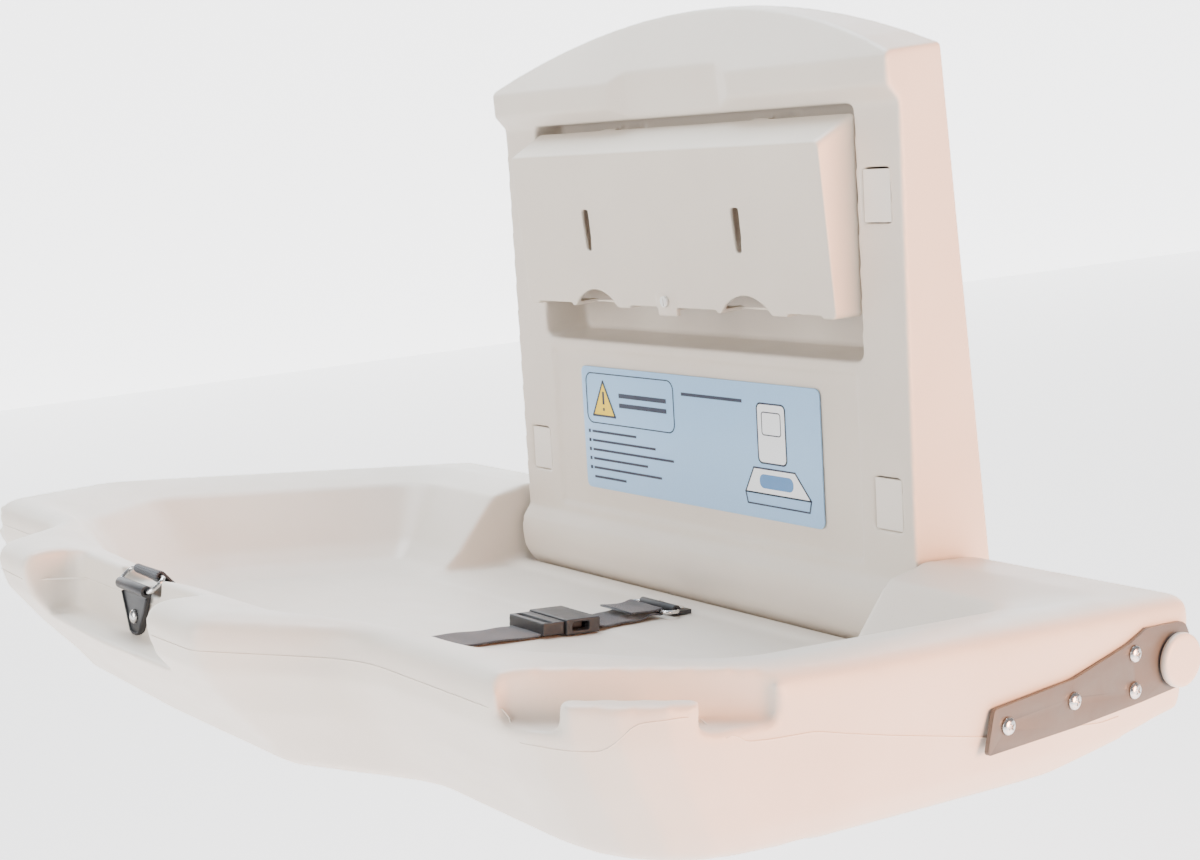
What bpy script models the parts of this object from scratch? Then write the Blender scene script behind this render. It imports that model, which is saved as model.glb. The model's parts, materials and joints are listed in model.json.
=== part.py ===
"""A wall-mounted, fold-down baby changing station, in metres, +Z up.

X is the viewer's right when facing the wall, +Y runs into the wall, and the wall is the plane Y = 0.
The origin is on the wall, at the centre of the four wall bolts. The tray is shown open, on its stop,
with its front a little raised. Tray pieces are modelled in the tray's own axes, about the hinge line:
x along the hinge, v forwards from it and h up from it.
"""

import math

import bmesh
import bpy
from mathutils import Matrix, Vector

MM = 0.001

# ---------------------------------------------------------------- driving dimensions
BOLT_SPACING_X = 406.4 * MM      # studs at 16 inches
BOLT_SPACING_Z = 198 * MM
BOLT_R = 4.0 * MM
HINGE_DROP = 171.5 * MM          # from the bolt pattern's centre down to the hinge line
HINGE_OUT = 42 * MM              # from the wall out to the hinge line
REST_TILT = math.radians(9.8)    # how far the open tray's front is raised

BODY_HALF = 227.5 * MM
BODY_WALL = 3.5 * MM
FACE_OUT_LOW = 69.6 * MM         # the front face's distance from the wall at the hinge line's height
FACE_LEAN = math.radians(4.97)
ROLL_R = 36.6 * MM
HOOD_END_UP = 360 * MM           # heights above the hinge line
HOOD_MID_UP = 401 * MM
LIP_LOW_UP = 340 * MM
LIP_HIGH_UP = 357 * MM
LIP_PROUD = 10 * MM
LIP_NOTCH = (54 * MM, 72 * MM)   # half-widths of the lip's grip recess, inside and at its mouth
LIP_NOTCH_DEEP = 6 * MM
POCKET_HALF = 185 * MM
POCKET_LOW_UP = 164 * MM
POCKET_HIGH_UP = 329 * MM
POCKET_BACK_OUT = 14 * MM        # the pocket's back wall, from the wall
PANEL_HALF = 178 * MM
PANEL_LOW_UP = 30 * MM
PANEL_HIGH_UP = 156 * MM
PANEL_SUNK = 2 * MM
LABEL_SIZE = (280 * MM, 96 * MM)
LABEL_UP = 95.5 * MM
LABEL_THICK = 1.2 * MM

WELL_BACK_OUT = 5 * MM           # the bolt wells' back walls, from the wall
WASHER_THICK = 1.6 * MM
PLUG_SIZE = (25.1 * MM, 35.4 * MM)
PLUG_THICK = 5 * MM
PLUG_SUNK = 0.6 * MM

COVER_HALF = 180 * MM
COVER_LOW_UP = 194 * MM
COVER_HIGH_UP = 309 * MM
COVER_OUT = 70 * MM              # the cover's front, from the wall
COVER_BEVEL_UP = 14 * MM
COVER_BEVEL_SIDE = 3.5 * MM
COVER_WALL = 3 * MM
COVER_AXIS_OUT = 36 * MM
COVER_AXIS_UP = 318 * MM
COVER_FEATURE_X = 88.5 * MM      # slots, half-moons and lugs share these stations
SLOT_SIZE = (9 * MM, 31 * MM)
SLOT_UP = 252 * MM
MOON_R = 36 * MM
MOON_RISE = 13 * MM
COVER_PIN_R = 2.5 * MM
KNUCKLE_R = 5.5 * MM
KNUCKLE_LONG = 18 * MM
LUG_R = 4.5 * MM
LUG_HALF = 2 * MM
LATCH_R = 4 * MM
LATCH_RISE = 7 * MM              # the latch's centre above the cover's lower edge
SPINDLE_R = 2.4 * MM
CAM_HALF = 2.6 * MM
CAM_LONG = 11 * MM
TAB_PROUD = 0.6 * MM
TAB_HALF = 11 * MM
TAB_DROP = 4 * MM
COVER_NOTCH = 2.2 * MM
NOTCH_SPANS = ((-79 * MM, -32 * MM), (43 * MM, 78 * MM))  # from each half-moon's middle

FRAME_SIZE = (436 * MM, 300 * MM)
FRAME_THICK = 2.5 * MM
EAR_X = 196 * MM
EAR_THICK = 4 * MM
EAR_R = 20 * MM
PIN_R = 6 * MM
BUSH_WALL = 2.2 * MM
DAMPER_R = 20 * MM
DAMPER_LONG = 34 * MM
ROTOR_R = 13 * MM
STOP_ARM_LONG = 26 * MM
STOP_ARM_HALF = 5 * MM
STOP_ARM_THICK = 7 * MM

TRAY_TOP = 35 * MM               # rim height over the hinge line
TRAY_FLOOR = -36 * MM
TRAY_BOTTOM = -60 * MM
TRAY_WALL = 4 * MM
WING_BACK = -24 * MM
REAR_HALF = 402 * MM
WIDE_HALF = 428.5 * MM
WIDE_V = 270 * MM
FRONT_V = 430 * MM
NOSE_HALF = 158 * MM
NOSE_V = 496 * MM
NOSE_MID_V = 502 * MM
NOSE_FOOT_X = 225 * MM
CORNER_R = 75 * MM
BODY_GAP = 6 * MM                # wing to body, each side
ROLL_GAP = 2.9 * MM
SLOT_BACK = 6 * MM               # the trough under the roll ends this far behind the hinge line
RIDGE_TOP = -27 * MM             # the floor's raised edge along the roll
RIDGE_V = 44 * MM
RAMP_V = 50 * MM
RAMP_TOP = -31.5 * MM
RAMP_END_V = 145 * MM
HOOK_TAB_REAR = -27 * MM         # the tab's two ends, along the corner from its middle
HOOK_TAB_FRONT = 37 * MM
HOOK_TAB_TOP = 25 * MM
HOOK_FLOOR = 10 * MM
HOOK_SLOT = 19 * MM
RECESS_HALF = 100 * MM
RECESS_V = 460 * MM
RECESS_FLOOR = -6 * MM
BELT_NOTCH_HALF = 30 * MM
BELT_NOTCH_FLOOR = 22 * MM
FOOT_GROOVES_V = (102 * MM, 285 * MM)
FOOT_GROOVE = (14 * MM, 3.5 * MM)

PLATE_THICK = 2.5 * MM
CAP_R = 16 * MM
CAP_PROUD = 4.5 * MM
SCREW_R = 5 * MM
ANCHOR_V = RAMP_V + 1 * MM
ANCHOR_LONG = 10 * MM
ANCHOR_THICK = 3 * MM
FRONT_ANCHOR_TOP = 24 * MM
FRONT_ANCHOR_LOW = -5 * MM
SLEEVE_R = 3.6 * MM              # the anchors' rolled eyes, which the belt's rings turn in
SLEEVE_HALF = 20.5 * MM
RING_WIRE_R = 1.5 * MM
RING_CORNER_R = 3 * RING_WIRE_R
RING_HALF = SLEEVE_HALF + RING_CORNER_R + 0.5 * MM
RING_REACH = 13 * MM
RING_LEAN = math.radians(50)     # how far the front ring leans back over the rim
BUCKLE_V = 134 * MM
BUCKLE_LONG = 28 * MM
BUCKLE_PLUG_LONG = 18 * MM
STRAP_HALF = 19 * MM
STRAP_THICK = 2 * MM
SEAT = 0.4 * MM                  # gap between pieces that touch
RUN = 0.35 * MM                  # radial gap where one piece turns in another
BEHIND = 20 * MM                 # how far the hollow's cutter runs out behind the wall plane

HINGE_Z = -HINGE_DROP
HINGE = Vector((0, -HINGE_OUT, HINGE_Z))


# ---------------------------------------------------------------- scene and materials
for old in list(bpy.data.objects):
    bpy.data.objects.remove(old)

PARTS = bpy.data.collections.new("baby_changing_station")
CUTTERS = bpy.data.collections.new("cutters")
for made in (PARTS, CUTTERS):
    bpy.context.scene.collection.children.link(made)
CUTTERS.hide_render = True


def material(name, colour, roughness, metallic=0.0):
    made = bpy.data.materials.new(name)
    made.use_nodes = True
    shader = made.node_tree.nodes["Principled BSDF"]
    shader.inputs["Base Color"].default_value = (*colour, 1)
    shader.inputs["Roughness"].default_value = roughness
    shader.inputs["Metallic"].default_value = metallic
    return made


CREAM = material("cream_polyethylene", (0.76, 0.70, 0.62), 0.45)
COVER_CREAM = material("cream_cover", (0.78, 0.71, 0.63), 0.4)
TAUPE = material("taupe_steel", (0.22, 0.17, 0.14), 0.4, 0.4)
ZINC = material("zinc_steel", (0.6, 0.6, 0.62), 0.35, 1.0)
BLUE = material("label_blue", (0.43, 0.62, 0.85), 0.5)
BLACK = material("black_nylon", (0.03, 0.03, 0.035), 0.5)
WEBBING = material("grey_webbing", (0.06, 0.065, 0.08), 0.9)
RUBBER = material("black_rubber", (0.02, 0.02, 0.02), 0.8)
ACETAL = material("white_acetal", (0.8, 0.8, 0.78), 0.35)


# ---------------------------------------------------------------- modelling helpers
def place(obj, parent=None, skin=None):
    """Puts a mesh object among the parts, or among the cutters when it has no material."""
    home = PARTS if skin else CUTTERS
    for other in list(obj.users_collection):
        other.objects.unlink(obj)
    home.objects.link(obj)
    obj.parent = parent
    if skin:
        obj.data.materials.clear()
        obj.data.materials.append(skin)
        obj.data.shade_smooth()
        obj.data.set_sharp_from_angle(angle=math.radians(32))
    else:
        obj.hide_render = True
        obj.display_type = "WIRE"
    return obj


def from_bmesh(name, shape):
    bmesh.ops.recalc_face_normals(shape, faces=shape.faces)
    mesh = bpy.data.meshes.new(name)
    shape.to_mesh(mesh)
    shape.free()
    obj = bpy.data.objects.new(name, mesh)
    CUTTERS.objects.link(obj)
    return obj


def loft(name, rings):
    """A closed solid through rings of equally many points."""
    shape = bmesh.new()
    rows = [[shape.verts.new(point) for point in ring] for ring in rings]
    for low, high in zip(rows, rows[1:]):
        for i in range(len(low)):
            j = (i + 1) % len(low)
            shape.faces.new((low[i], low[j], high[j], high[i]))
    shape.faces.new(reversed(rows[0]))
    shape.faces.new(rows[-1])
    return from_bmesh(name, shape)


def prism(name, outline, start, end, axes="xy"):
    """A flat outline in the plane of two axes, pushed along the third from start to end."""
    flat = ["xyz".index(letter) for letter in axes]
    third = 3 - sum(flat)

    def ring(depth):
        made = []
        for a, b in outline:
            point = [0, 0, 0]
            point[flat[0]], point[flat[1]], point[third] = a, b, depth
            made.append(point)
        return made

    return loft(name, [ring(start), ring(end)])


def box(name, low, high):
    shape = bmesh.new()
    size = [b - a for a, b in zip(low, high)]
    middle = Vector([(a + b) / 2 for a, b in zip(low, high)])
    bmesh.ops.create_cube(shape, size=1, matrix=Matrix.Translation(middle) @ Matrix.Diagonal((*size, 1)))
    return from_bmesh(name, shape)


def rod(name, radius, start, end, sides=32, axis="x", centre=(0, 0), tip=None):
    """A round bar along an axis, its centre given in the two other axes; tip tapers its far end."""
    shape = bmesh.new()
    bmesh.ops.create_cone(shape, cap_ends=True, segments=sides, radius1=radius,
                          radius2=radius if tip is None else tip, depth=end - start)
    turn = {"x": Matrix.Rotation(math.pi / 2, 4, "Y"), "y": Matrix.Rotation(-math.pi / 2, 4, "X"),
            "z": Matrix.Identity(4)}[axis]
    middle = (start + end) / 2
    where = {"x": (middle, *centre), "y": (centre[0], middle, centre[1]), "z": (*centre, middle)}[axis]
    bmesh.ops.transform(shape, matrix=Matrix.Translation(where) @ turn, verts=shape.verts)
    return from_bmesh(name, shape)


def combine(obj, other, operation):
    """Applies a Boolean and removes the other object."""
    modifier = obj.modifiers.new(operation.lower(), "BOOLEAN")
    modifier.operation = operation
    modifier.solver = "EXACT"
    modifier.object = other
    bpy.context.view_layer.update()
    graph = bpy.context.evaluated_depsgraph_get()
    made = bpy.data.meshes.new_from_object(obj.evaluated_get(graph))
    obj.modifiers.clear()
    obj.data = made
    bpy.data.objects.remove(other)
    return obj


def cut(obj, *others):
    for other in others:
        combine(obj, other, "DIFFERENCE")
    return obj


def join(obj, *others):
    for other in others:
        combine(obj, other, "UNION")
    return obj


def moved(obj, offset):
    obj.data.transform(Matrix.Translation(offset))
    return obj


def turned(obj, angle, axis, about=(0, 0, 0)):
    about = Vector(about)
    obj.data.transform(Matrix.Translation(about) @ Matrix.Rotation(angle, 4, axis)
                       @ Matrix.Translation(-about))
    return obj


def mirrored(obj):
    obj.data.transform(Matrix.Diagonal((-1, 1, 1, 1)))
    obj.data.flip_normals()
    return obj


def offset(corners, distance):
    """Closed outline, anticlockwise, moved outwards with sharp corners."""
    made = []
    count = len(corners)
    for i in range(count):
        before, here, after = (Vector(corners[(i + k) % count]) for k in (-1, 0, 1))
        one = (here - before).normalized()
        two = (after - here).normalized()
        normal_one = Vector((one.y, -one.x))
        normal_two = Vector((two.y, -two.x))
        middle = (normal_one + normal_two).normalized()
        made.append(tuple(here + middle * (distance / max(middle.dot(normal_one), 0.3))))
    return made


def rounded(corners, radii, steps=5):
    """Replaces each corner of a closed outline by an arc of steps + 1 points, or keeps it at radius 0."""
    made = []
    count = len(corners)
    for i in range(count):
        before, here, after = (Vector(corners[(i + k) % count]) for k in (-1, 0, 1))
        to_before = (before - here).normalized()
        to_after = (after - here).normalized()
        half = to_before.angle(to_after) / 2
        if radii[i] <= 0:
            made.append(tuple(here))
            continue
        reach = radii[i] / math.tan(half)
        centre = here + (to_before + to_after).normalized() * (radii[i] / math.sin(half))
        start = here + to_before * reach - centre
        sweep = start.angle_signed(here + to_after * reach - centre)
        for k in range(steps + 1):
            turn = Matrix.Rotation(-sweep * k / steps, 2)
            made.append(tuple(centre + turn @ start))
    return made


def rectangle(half_x, low, high, radius, steps=4):
    corners = [(half_x, low), (half_x, high), (-half_x, high), (-half_x, low)]
    return rounded(corners, [radius] * 4, steps)


def face_out(up):
    """How far the body's front face stands from the wall, at a height above the hinge line."""
    return FACE_OUT_LOW - up * math.tan(FACE_LEAN)


def on_face(x, up, proud=0.0):
    return Vector((x, -face_out(up) - proud, HINGE_Z + up))


def leaned(obj, up):
    """Turns a piece that was modelled upright at a height so that it lies on the leaning face."""
    return turned(obj, -FACE_LEAN, "X", on_face(0, up))


def empty(name, where, parent=None, tilt=0.0):
    made = bpy.data.objects.new(name, None)
    PARTS.objects.link(made)
    made.location = where
    made.rotation_euler.x = tilt
    made.parent = parent
    made.empty_display_size = 0.03
    return made


# ---------------------------------------------------------------- wall unit
def body_profile(inset):
    """The body's side outline as (y, z), from the wall round the roll, up the face and over the hood."""
    roll = ROLL_R - inset
    wall = BEHIND if inset else 0
    made = [(wall, HINGE_Z - roll * 0.85)]
    first, last = math.radians(-58), math.radians(-205)
    for i in range(15):
        angle = first + (last - first) * i / 14
        made.append((-HINGE_OUT + roll * math.cos(angle), HINGE_Z + roll * math.sin(angle)))
    neck = 24 * MM
    made.append((-face_out(neck) + inset, HINGE_Z + neck))
    made.append((-face_out(POCKET_HIGH_UP) + inset, HINGE_Z + POCKET_HIGH_UP - inset))
    lip = face_out(LIP_LOW_UP) + LIP_PROUD
    if inset:
        made.append((-lip + inset + 2 * MM, HINGE_Z + LIP_LOW_UP + inset))
    else:
        made.append((-lip, HINGE_Z + LIP_LOW_UP))
    made.append((-lip + inset + 1.2 * MM, HINGE_Z + LIP_HIGH_UP - inset))
    made.append((-16 * MM, HINGE_Z + HOOD_MID_UP - inset + 1 * MM))
    made.append((wall, HINGE_Z + HOOD_MID_UP - inset + 1 * MM))
    return made


def body_front(inset):
    """The body's front outline as (x, z): straight sides, a shallow arch on top."""
    half = BODY_HALF - inset
    rise = HOOD_MID_UP - HOOD_END_UP
    radius = (BODY_HALF ** 2 + rise ** 2) / (2 * rise)
    centre = HOOD_MID_UP - radius
    made = [(half, HINGE_Z - 0.06), ]
    reach = math.asin(half / radius)
    for i in range(17):
        angle = reach * (1 - i / 8)
        made.append(((radius - inset) * math.sin(angle), HINGE_Z + centre + (radius - inset) * math.cos(angle)))
    made.append((-half, HINGE_Z - 0.06))
    return made


def body_solid(name, inset):
    solid = prism(name, body_profile(inset), -0.3, 0.3, "yz")
    front = prism(name + "_front", body_front(inset), -0.2, 0.1, "xz")
    return combine(solid, front, "INTERSECT")


def pocket_block(grow):
    """The dispenser pocket, from in front of the face to its back wall."""
    outline = rectangle(POCKET_HALF + grow, HINGE_Z + POCKET_LOW_UP - grow,
                        HINGE_Z + POCKET_HIGH_UP + grow * 0.6, 6 * MM)
    return prism("pocket", outline, -0.12, -POCKET_BACK_OUT + grow, "xz")


def bolt_places():
    for x in (-BOLT_SPACING_X / 2, BOLT_SPACING_X / 2):
        for z in (-BOLT_SPACING_Z / 2, BOLT_SPACING_Z / 2):
            yield x, z


def well_block(x, z, grow):
    """The rectangular well that a wall bolt is reached through."""
    half_x = PLUG_SIZE[0] / 2 + grow
    half_z = PLUG_SIZE[1] / 2 + grow
    return box("well", (x - half_x, -0.12, z - half_z), (x + half_x, -WELL_BACK_OUT + grow, z + half_z))


def lip_notch(grow):
    """The grip recess in the middle of the hood's lip, its ends sloping."""
    inner, mouth = (half + grow for half in LIP_NOTCH)
    back = face_out(LIP_LOW_UP) + LIP_PROUD - LIP_NOTCH_DEEP - grow
    front = back + 2 * LIP_NOTCH_DEEP
    spread = (mouth - inner) * 2
    outline = [(inner, -back), (-inner, -back), (-inner - spread, -front), (inner + spread, -front)]
    low = HINGE_Z + POCKET_HIGH_UP + 2 * MM
    return prism("lip_notch", outline, low, HINGE_Z + HOOD_MID_UP, "xy")


def make_wall_body(parent):
    body = body_solid("wall_body", 0)
    cut(body, lip_notch(0))
    hollow = body_solid("body_hollow", BODY_WALL)
    cut(hollow, lip_notch(BODY_WALL))
    cut(hollow, pocket_block(BODY_WALL))
    for x, z in bolt_places():
        cut(hollow, well_block(x, z, BODY_WALL * 0.8))
    cut(body, hollow)
    moved(body, (0, -SEAT, 0))
    cut(body, pocket_block(0))
    for x, z in bolt_places():
        cut(body, well_block(x, z, 0))
        cut(body, rod("bolt_way", BOLT_R + 3 * MM, -0.03, 0.01, 20, "y", (x, z)))
    panel = box("panel", (-PANEL_HALF, -0.02, -(PANEL_HIGH_UP - PANEL_LOW_UP) / 2),
                (PANEL_HALF, PANEL_SUNK, (PANEL_HIGH_UP - PANEL_LOW_UP) / 2))
    middle = (PANEL_HIGH_UP + PANEL_LOW_UP) / 2
    cut(body, leaned(moved(panel, on_face(0, middle)), middle))
    for side in (-1, 1):
        low, high = sorted((side * (BODY_HALF - 0.012), side * (BODY_HALF + 0.01)))
        cut(body, rod("pin_way", PIN_R + 1.5 * MM, low, high, 24, "x", (HINGE.y, HINGE.z)))
    for side in (-1, 1):
        x = side * COVER_FEATURE_X
        for face in (-1, 1):
            middle_x = x + face * (KNUCKLE_LONG / 2 + LUG_HALF + 1 * MM)
            axis = (-COVER_AXIS_OUT, HINGE_Z + COVER_AXIS_UP)
            lug = rod("lug", LUG_R, middle_x - LUG_HALF, middle_x + LUG_HALF, 24, "x", axis)
            join(lug, box("arm", (middle_x - LUG_HALF, axis[0], axis[1] - LUG_R * 0.95),
                          (middle_x + LUG_HALF, -POCKET_BACK_OUT + 1 * MM, axis[1] + LUG_R * 0.95)))
            cut(lug, rod("lug_hole", COVER_PIN_R + SEAT, middle_x - 0.004, middle_x + 0.004, 16, "x", axis))
            join(body, lug)
    return place(body, parent, CREAM)


def make_back_frame(parent):
    half = FRAME_SIZE[0] / 2 - SEAT
    low = HINGE_Z - 14 * MM
    high = low + FRAME_SIZE[1]
    frame = prism("back_frame", rectangle(half, low, high, 12 * MM), -FRAME_THICK, 0, "xz")
    for x, z in bolt_places():
        cut(frame, rod("bolt_hole", BOLT_R + 1 * MM, -0.01, 0.01, 20, "y", (x, z)))
    for x in (-110 * MM, 110 * MM):
        for z in (-58 * MM, 62 * MM):
            window = rectangle(38 * MM, -34 * MM, 34 * MM, 14 * MM)
            cut(frame, prism("window", [(x + a, z + b) for a, b in window], -0.01, 0.01, "xz"))
    for side in (-1, 1):
        ear = rounded([(-0.001, HINGE_Z - 12 * MM), (HINGE.y - EAR_R, HINGE_Z - EAR_R),
                       (HINGE.y - EAR_R, HINGE_Z + EAR_R), (-0.001, HINGE_Z + 40 * MM)],
                      [0, EAR_R * 0.95, EAR_R * 0.95, 0], 6)
        low_x, high_x = sorted((side * EAR_X, side * (EAR_X + EAR_THICK)))
        join(frame, prism("ear", ear, low_x, high_x, "yz"))
        cut(frame, rod("ear_hole", PIN_R + RUN + BUSH_WALL + RUN, low_x - 0.01, high_x + 0.01, 28, "x",
                       (HINGE.y, HINGE.z)))
    return place(frame, parent, ZINC)


def make_bolts(parent):
    for number, (x, z) in enumerate(bolt_places(), 1):
        washer = rod(f"bolt_washer_{number}", 9 * MM, -WELL_BACK_OUT - SEAT - WASHER_THICK,
                     -WELL_BACK_OUT - SEAT, 24, "y", (x, z))
        cut(washer, rod("hole", BOLT_R + RUN, -0.02, 0.02, 20, "y", (x, z)))
        place(washer, parent, ZINC)
        under = -WELL_BACK_OUT - 2 * SEAT - WASHER_THICK
        bolt = rod(f"wall_bolt_{number}", 6.5 * MM, under - 5.3 * MM, under, 6, "y", (x, z))
        join(bolt, rod("shank", BOLT_R, under - 1 * MM, -0.1 * MM, 20, "y", (x, z)))
        place(bolt, parent, ZINC)


def make_plugs(parent):
    for number, (x, z) in enumerate(bolt_places(), 1):
        up = z - HINGE_Z
        half_x = PLUG_SIZE[0] / 2 - SEAT
        half_z = PLUG_SIZE[1] / 2 - SEAT - 0.5 * MM
        plug = box(f"plug_cover_{number}", (x - half_x, PLUG_SUNK, -half_z), (x + half_x, PLUG_THICK, half_z))
        cut(plug, box("inside", (x - half_x + 2 * MM, PLUG_SUNK + 2 * MM, -half_z + 2 * MM),
                      (x + half_x - 2 * MM, PLUG_THICK + 0.01, half_z - 2 * MM)))
        leaned(moved(plug, on_face(0, up)), up)
        place(plug, parent, CREAM)


def make_label(parent):
    half_x, half_z = LABEL_SIZE[0] / 2, LABEL_SIZE[1] / 2
    label = prism("label_plate", rectangle(half_x, -half_z, half_z, 5 * MM), 0, -LABEL_THICK, "xz")
    moved(label, on_face(0, LABEL_UP, -PANEL_SUNK + SEAT + SEAT))
    place(leaned(label, LABEL_UP), parent, BLUE)


def make_cover_pins(parent):
    for side, name in ((-1, "left"), (1, "right")):
        x = side * COVER_FEATURE_X
        half = KNUCKLE_LONG / 2 + 6 * MM
        pin = rod(f"cover_pin_{name}", COVER_PIN_R, x - half, x + half, 16, "x",
                  (-COVER_AXIS_OUT, HINGE_Z + COVER_AXIS_UP))
        place(pin, parent, ZINC)


def make_dampers(parent):
    """The bushes, damper housings and rubber stops that the back frame's ears carry."""
    centre = (HINGE.y, HINGE.z)
    for side, name in ((-1, "left"), (1, "right")):
        bush = rod("bush", PIN_R + RUN + BUSH_WALL, EAR_X - 1 * MM, EAR_X + EAR_THICK + SEAT + 0.4 * MM, 28,
                   "x", centre)
        join(bush, rod("flange", PIN_R + BUSH_WALL + 3 * MM, EAR_X + EAR_THICK + SEAT,
                       EAR_X + EAR_THICK + SEAT + 1.5 * MM, 28, "x", centre))
        cut(bush, rod("hole", PIN_R + RUN, EAR_X - 0.02, EAR_X + 0.02, 28, "x", centre))
        housing = rod("housing", DAMPER_R, EAR_X - SEAT - DAMPER_LONG, EAR_X - SEAT, 32, "x", centre)
        cut(housing, rod("chamber", DAMPER_R - 3 * MM, EAR_X - DAMPER_LONG + 3 * MM, EAR_X - 4 * MM, 32, "x",
                         centre))
        cut(housing, rod("mouth", PIN_R + BUSH_WALL + RUN + 1 * MM, EAR_X - 6 * MM, EAR_X + 0.01, 28, "x",
                         centre))
        stop_x = EAR_X + EAR_THICK + SEAT
        low = HINGE_Z + STOP_ARM_HALF + SEAT
        block = box("block", (stop_x, HINGE.y + 14 * MM, low),
                    (stop_x + STOP_ARM_THICK + 4 * MM, HINGE.y + STOP_ARM_LONG, low + 10 * MM))
        for piece, label, skin in ((bush, "hinge_bush", ACETAL), (housing, "damper_housing", BLACK),
                                   (block, "stop_block", RUBBER)):
            if side < 0:
                mirrored(piece)
            piece.name = f"{label}_{name}"
            place(piece, parent, skin)


# ---------------------------------------------------------------- dispenser
def cover_rings(inset):
    """The cover's front rectangle and its wider back one, as rings for a loft."""
    low = HINGE_Z + COVER_LOW_UP
    high = HINGE_Z + COVER_HIGH_UP
    back_low = COVER_LOW_UP
    back_high = COVER_HIGH_UP + COVER_BEVEL_UP

    def ring(half, bottom, top, out_low, out_high):
        outline = rectangle(half, bottom, top, max(4 * MM - inset, 1 * MM), 3)
        span = top - bottom
        return [(x, -(out_low + (out_high - out_low) * (z - bottom) / span), z) for x, z in outline]

    front = ring(COVER_HALF - inset, low + inset, high - inset * 0.6, COVER_OUT - inset, COVER_OUT - inset)
    behind = 3 * MM + (10 * MM if inset else 0)
    back = ring(COVER_HALF + COVER_BEVEL_SIDE - inset, HINGE_Z + back_low - 1 * MM + inset,
                HINGE_Z + back_high - inset, face_out(back_low) - behind, face_out(back_high) - behind)
    return [front, back]


def make_cover(parent, pivot):
    cover = loft("dispenser_cover", cover_rings(0))
    cut(cover, loft("cover_hollow", cover_rings(COVER_WALL)))
    low = HINGE_Z + COVER_LOW_UP
    for side in (-1, 1):
        x = side * COVER_FEATURE_X
        half, tall = SLOT_SIZE[0] / 2, SLOT_SIZE[1] / 2
        middle = HINGE_Z + SLOT_UP
        slot = rounded([(x - half * 0.7, middle - tall), (x + half * 0.7, middle - tall),
                        (x + half, middle + tall), (x - half, middle + tall)], [half * 0.6] * 4, 3)
        cut(cover, prism("slot", slot, -COVER_OUT - 0.01, -COVER_OUT + 0.01, "xz"))
        cut(cover, rod("moon", MOON_R, -COVER_OUT - 0.01, -COVER_OUT + 0.02, 40, "y",
                       (x, low + MOON_RISE - MOON_R)))
        for start, end in NOTCH_SPANS:
            cut(cover, box("notch", (x + start, -COVER_OUT - 0.01, low - 0.01),
                           (x + end, -COVER_OUT + 0.02, low + COVER_NOTCH)))
    centre = (-COVER_AXIS_OUT, HINGE_Z + COVER_AXIS_UP)
    for side in (-1, 1):
        x = side * COVER_FEATURE_X
        half = KNUCKLE_LONG / 2
        knuckle = rod("knuckle", KNUCKLE_R, x - half, x + half, 24, "x", centre)
        join(knuckle, box("web", (x - half * 0.9, -COVER_AXIS_OUT - 9 * MM, centre[1] - 3 * MM),
                          (x + half * 0.9, -COVER_AXIS_OUT, centre[1] + 2 * MM)))
        cut(knuckle, rod("knuckle_hole", COVER_PIN_R + RUN, x - 0.02, x + 0.02, 20, "x", centre))
        join(cover, knuckle)
        for face in (-1, 1):
            lug_x = x + face * (KNUCKLE_LONG / 2 + LUG_HALF + 1 * MM)
            cut(cover, rod("lug_room", LUG_R + 0.8 * MM, lug_x - LUG_HALF - 0.6 * MM,
                           lug_x + LUG_HALF + 0.6 * MM, 24, "x", centre))
    tab = box("tab", (-TAB_HALF, -COVER_OUT - TAB_PROUD, low - TAB_DROP),
              (TAB_HALF, -COVER_OUT + COVER_WALL + 0.4 * MM, low + LATCH_RISE + LATCH_R + 1 * MM))
    join(cover, tab)
    cut(cover, rod("latch_hole", SPINDLE_R + RUN, -COVER_OUT - 0.01, -COVER_OUT + 0.01, 20, "y",
                   (0, low + LATCH_RISE)))
    cover.data.transform(Matrix.Translation(-pivot.matrix_world.translation))
    return place(cover, pivot, COVER_CREAM)


def make_latch(latch_pivot):
    """A quarter-turn lock: a round slotted head, a short spindle and a cam behind the cover's front."""
    latch = rod("dispenser_latch", LATCH_R, -2.4 * MM, -SEAT, 28, "y", (0, 0), LATCH_R)
    cut(latch, box("slot", (-0.6 * MM, -5 * MM, -LATCH_R * 0.7), (0.6 * MM, -1.6 * MM, LATCH_R * 0.7)))
    behind = TAB_PROUD + COVER_WALL + 2 * SEAT + 0.4 * MM
    join(latch, rod("spindle", SPINDLE_R, -1 * MM, behind + 2 * MM, 20, "y"))
    join(latch, box("cam", (-CAM_HALF, behind, -CAM_HALF), (CAM_HALF, behind + 2.5 * MM, CAM_LONG)))
    return place(latch, latch_pivot, ACETAL)


# ---------------------------------------------------------------- tray
def both_sides(right):
    """A closed outline, anticlockwise in (x, v), from its right half's corners, rear to front."""
    left = [(-x, v) for x, v in reversed(right) if x > 0]
    return right + left


def blend(one, two, share):
    return [(a[0] + (b[0] - a[0]) * share, a[1] + (b[1] - a[1]) * share) for a, b in zip(one, two)]


def outer_corners(share):
    """The tray's plan, from its rim at share 0 to its underside at share 1."""
    rim = [(REAR_HALF, WING_BACK), (WIDE_HALF, WIDE_V), (WIDE_HALF, FRONT_V), (NOSE_FOOT_X, FRONT_V),
           (NOSE_HALF, NOSE_V), (0, NOSE_MID_V)]
    under = [(REAR_HALF - 3 * MM, WING_BACK), (WIDE_HALF - 3 * MM, WIDE_V),
             (WIDE_HALF - 3 * MM, FRONT_V - 32 * MM), (NOSE_FOOT_X, FRONT_V - 34 * MM),
             (NOSE_HALF - 10 * MM, NOSE_V - 52 * MM), (0, NOSE_MID_V - 54 * MM)]
    return both_sides(blend(rim, under, share))


OUTER_RADII = [14 * MM, 60 * MM, CORNER_R, 60 * MM, 18 * MM, 400 * MM]


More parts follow.
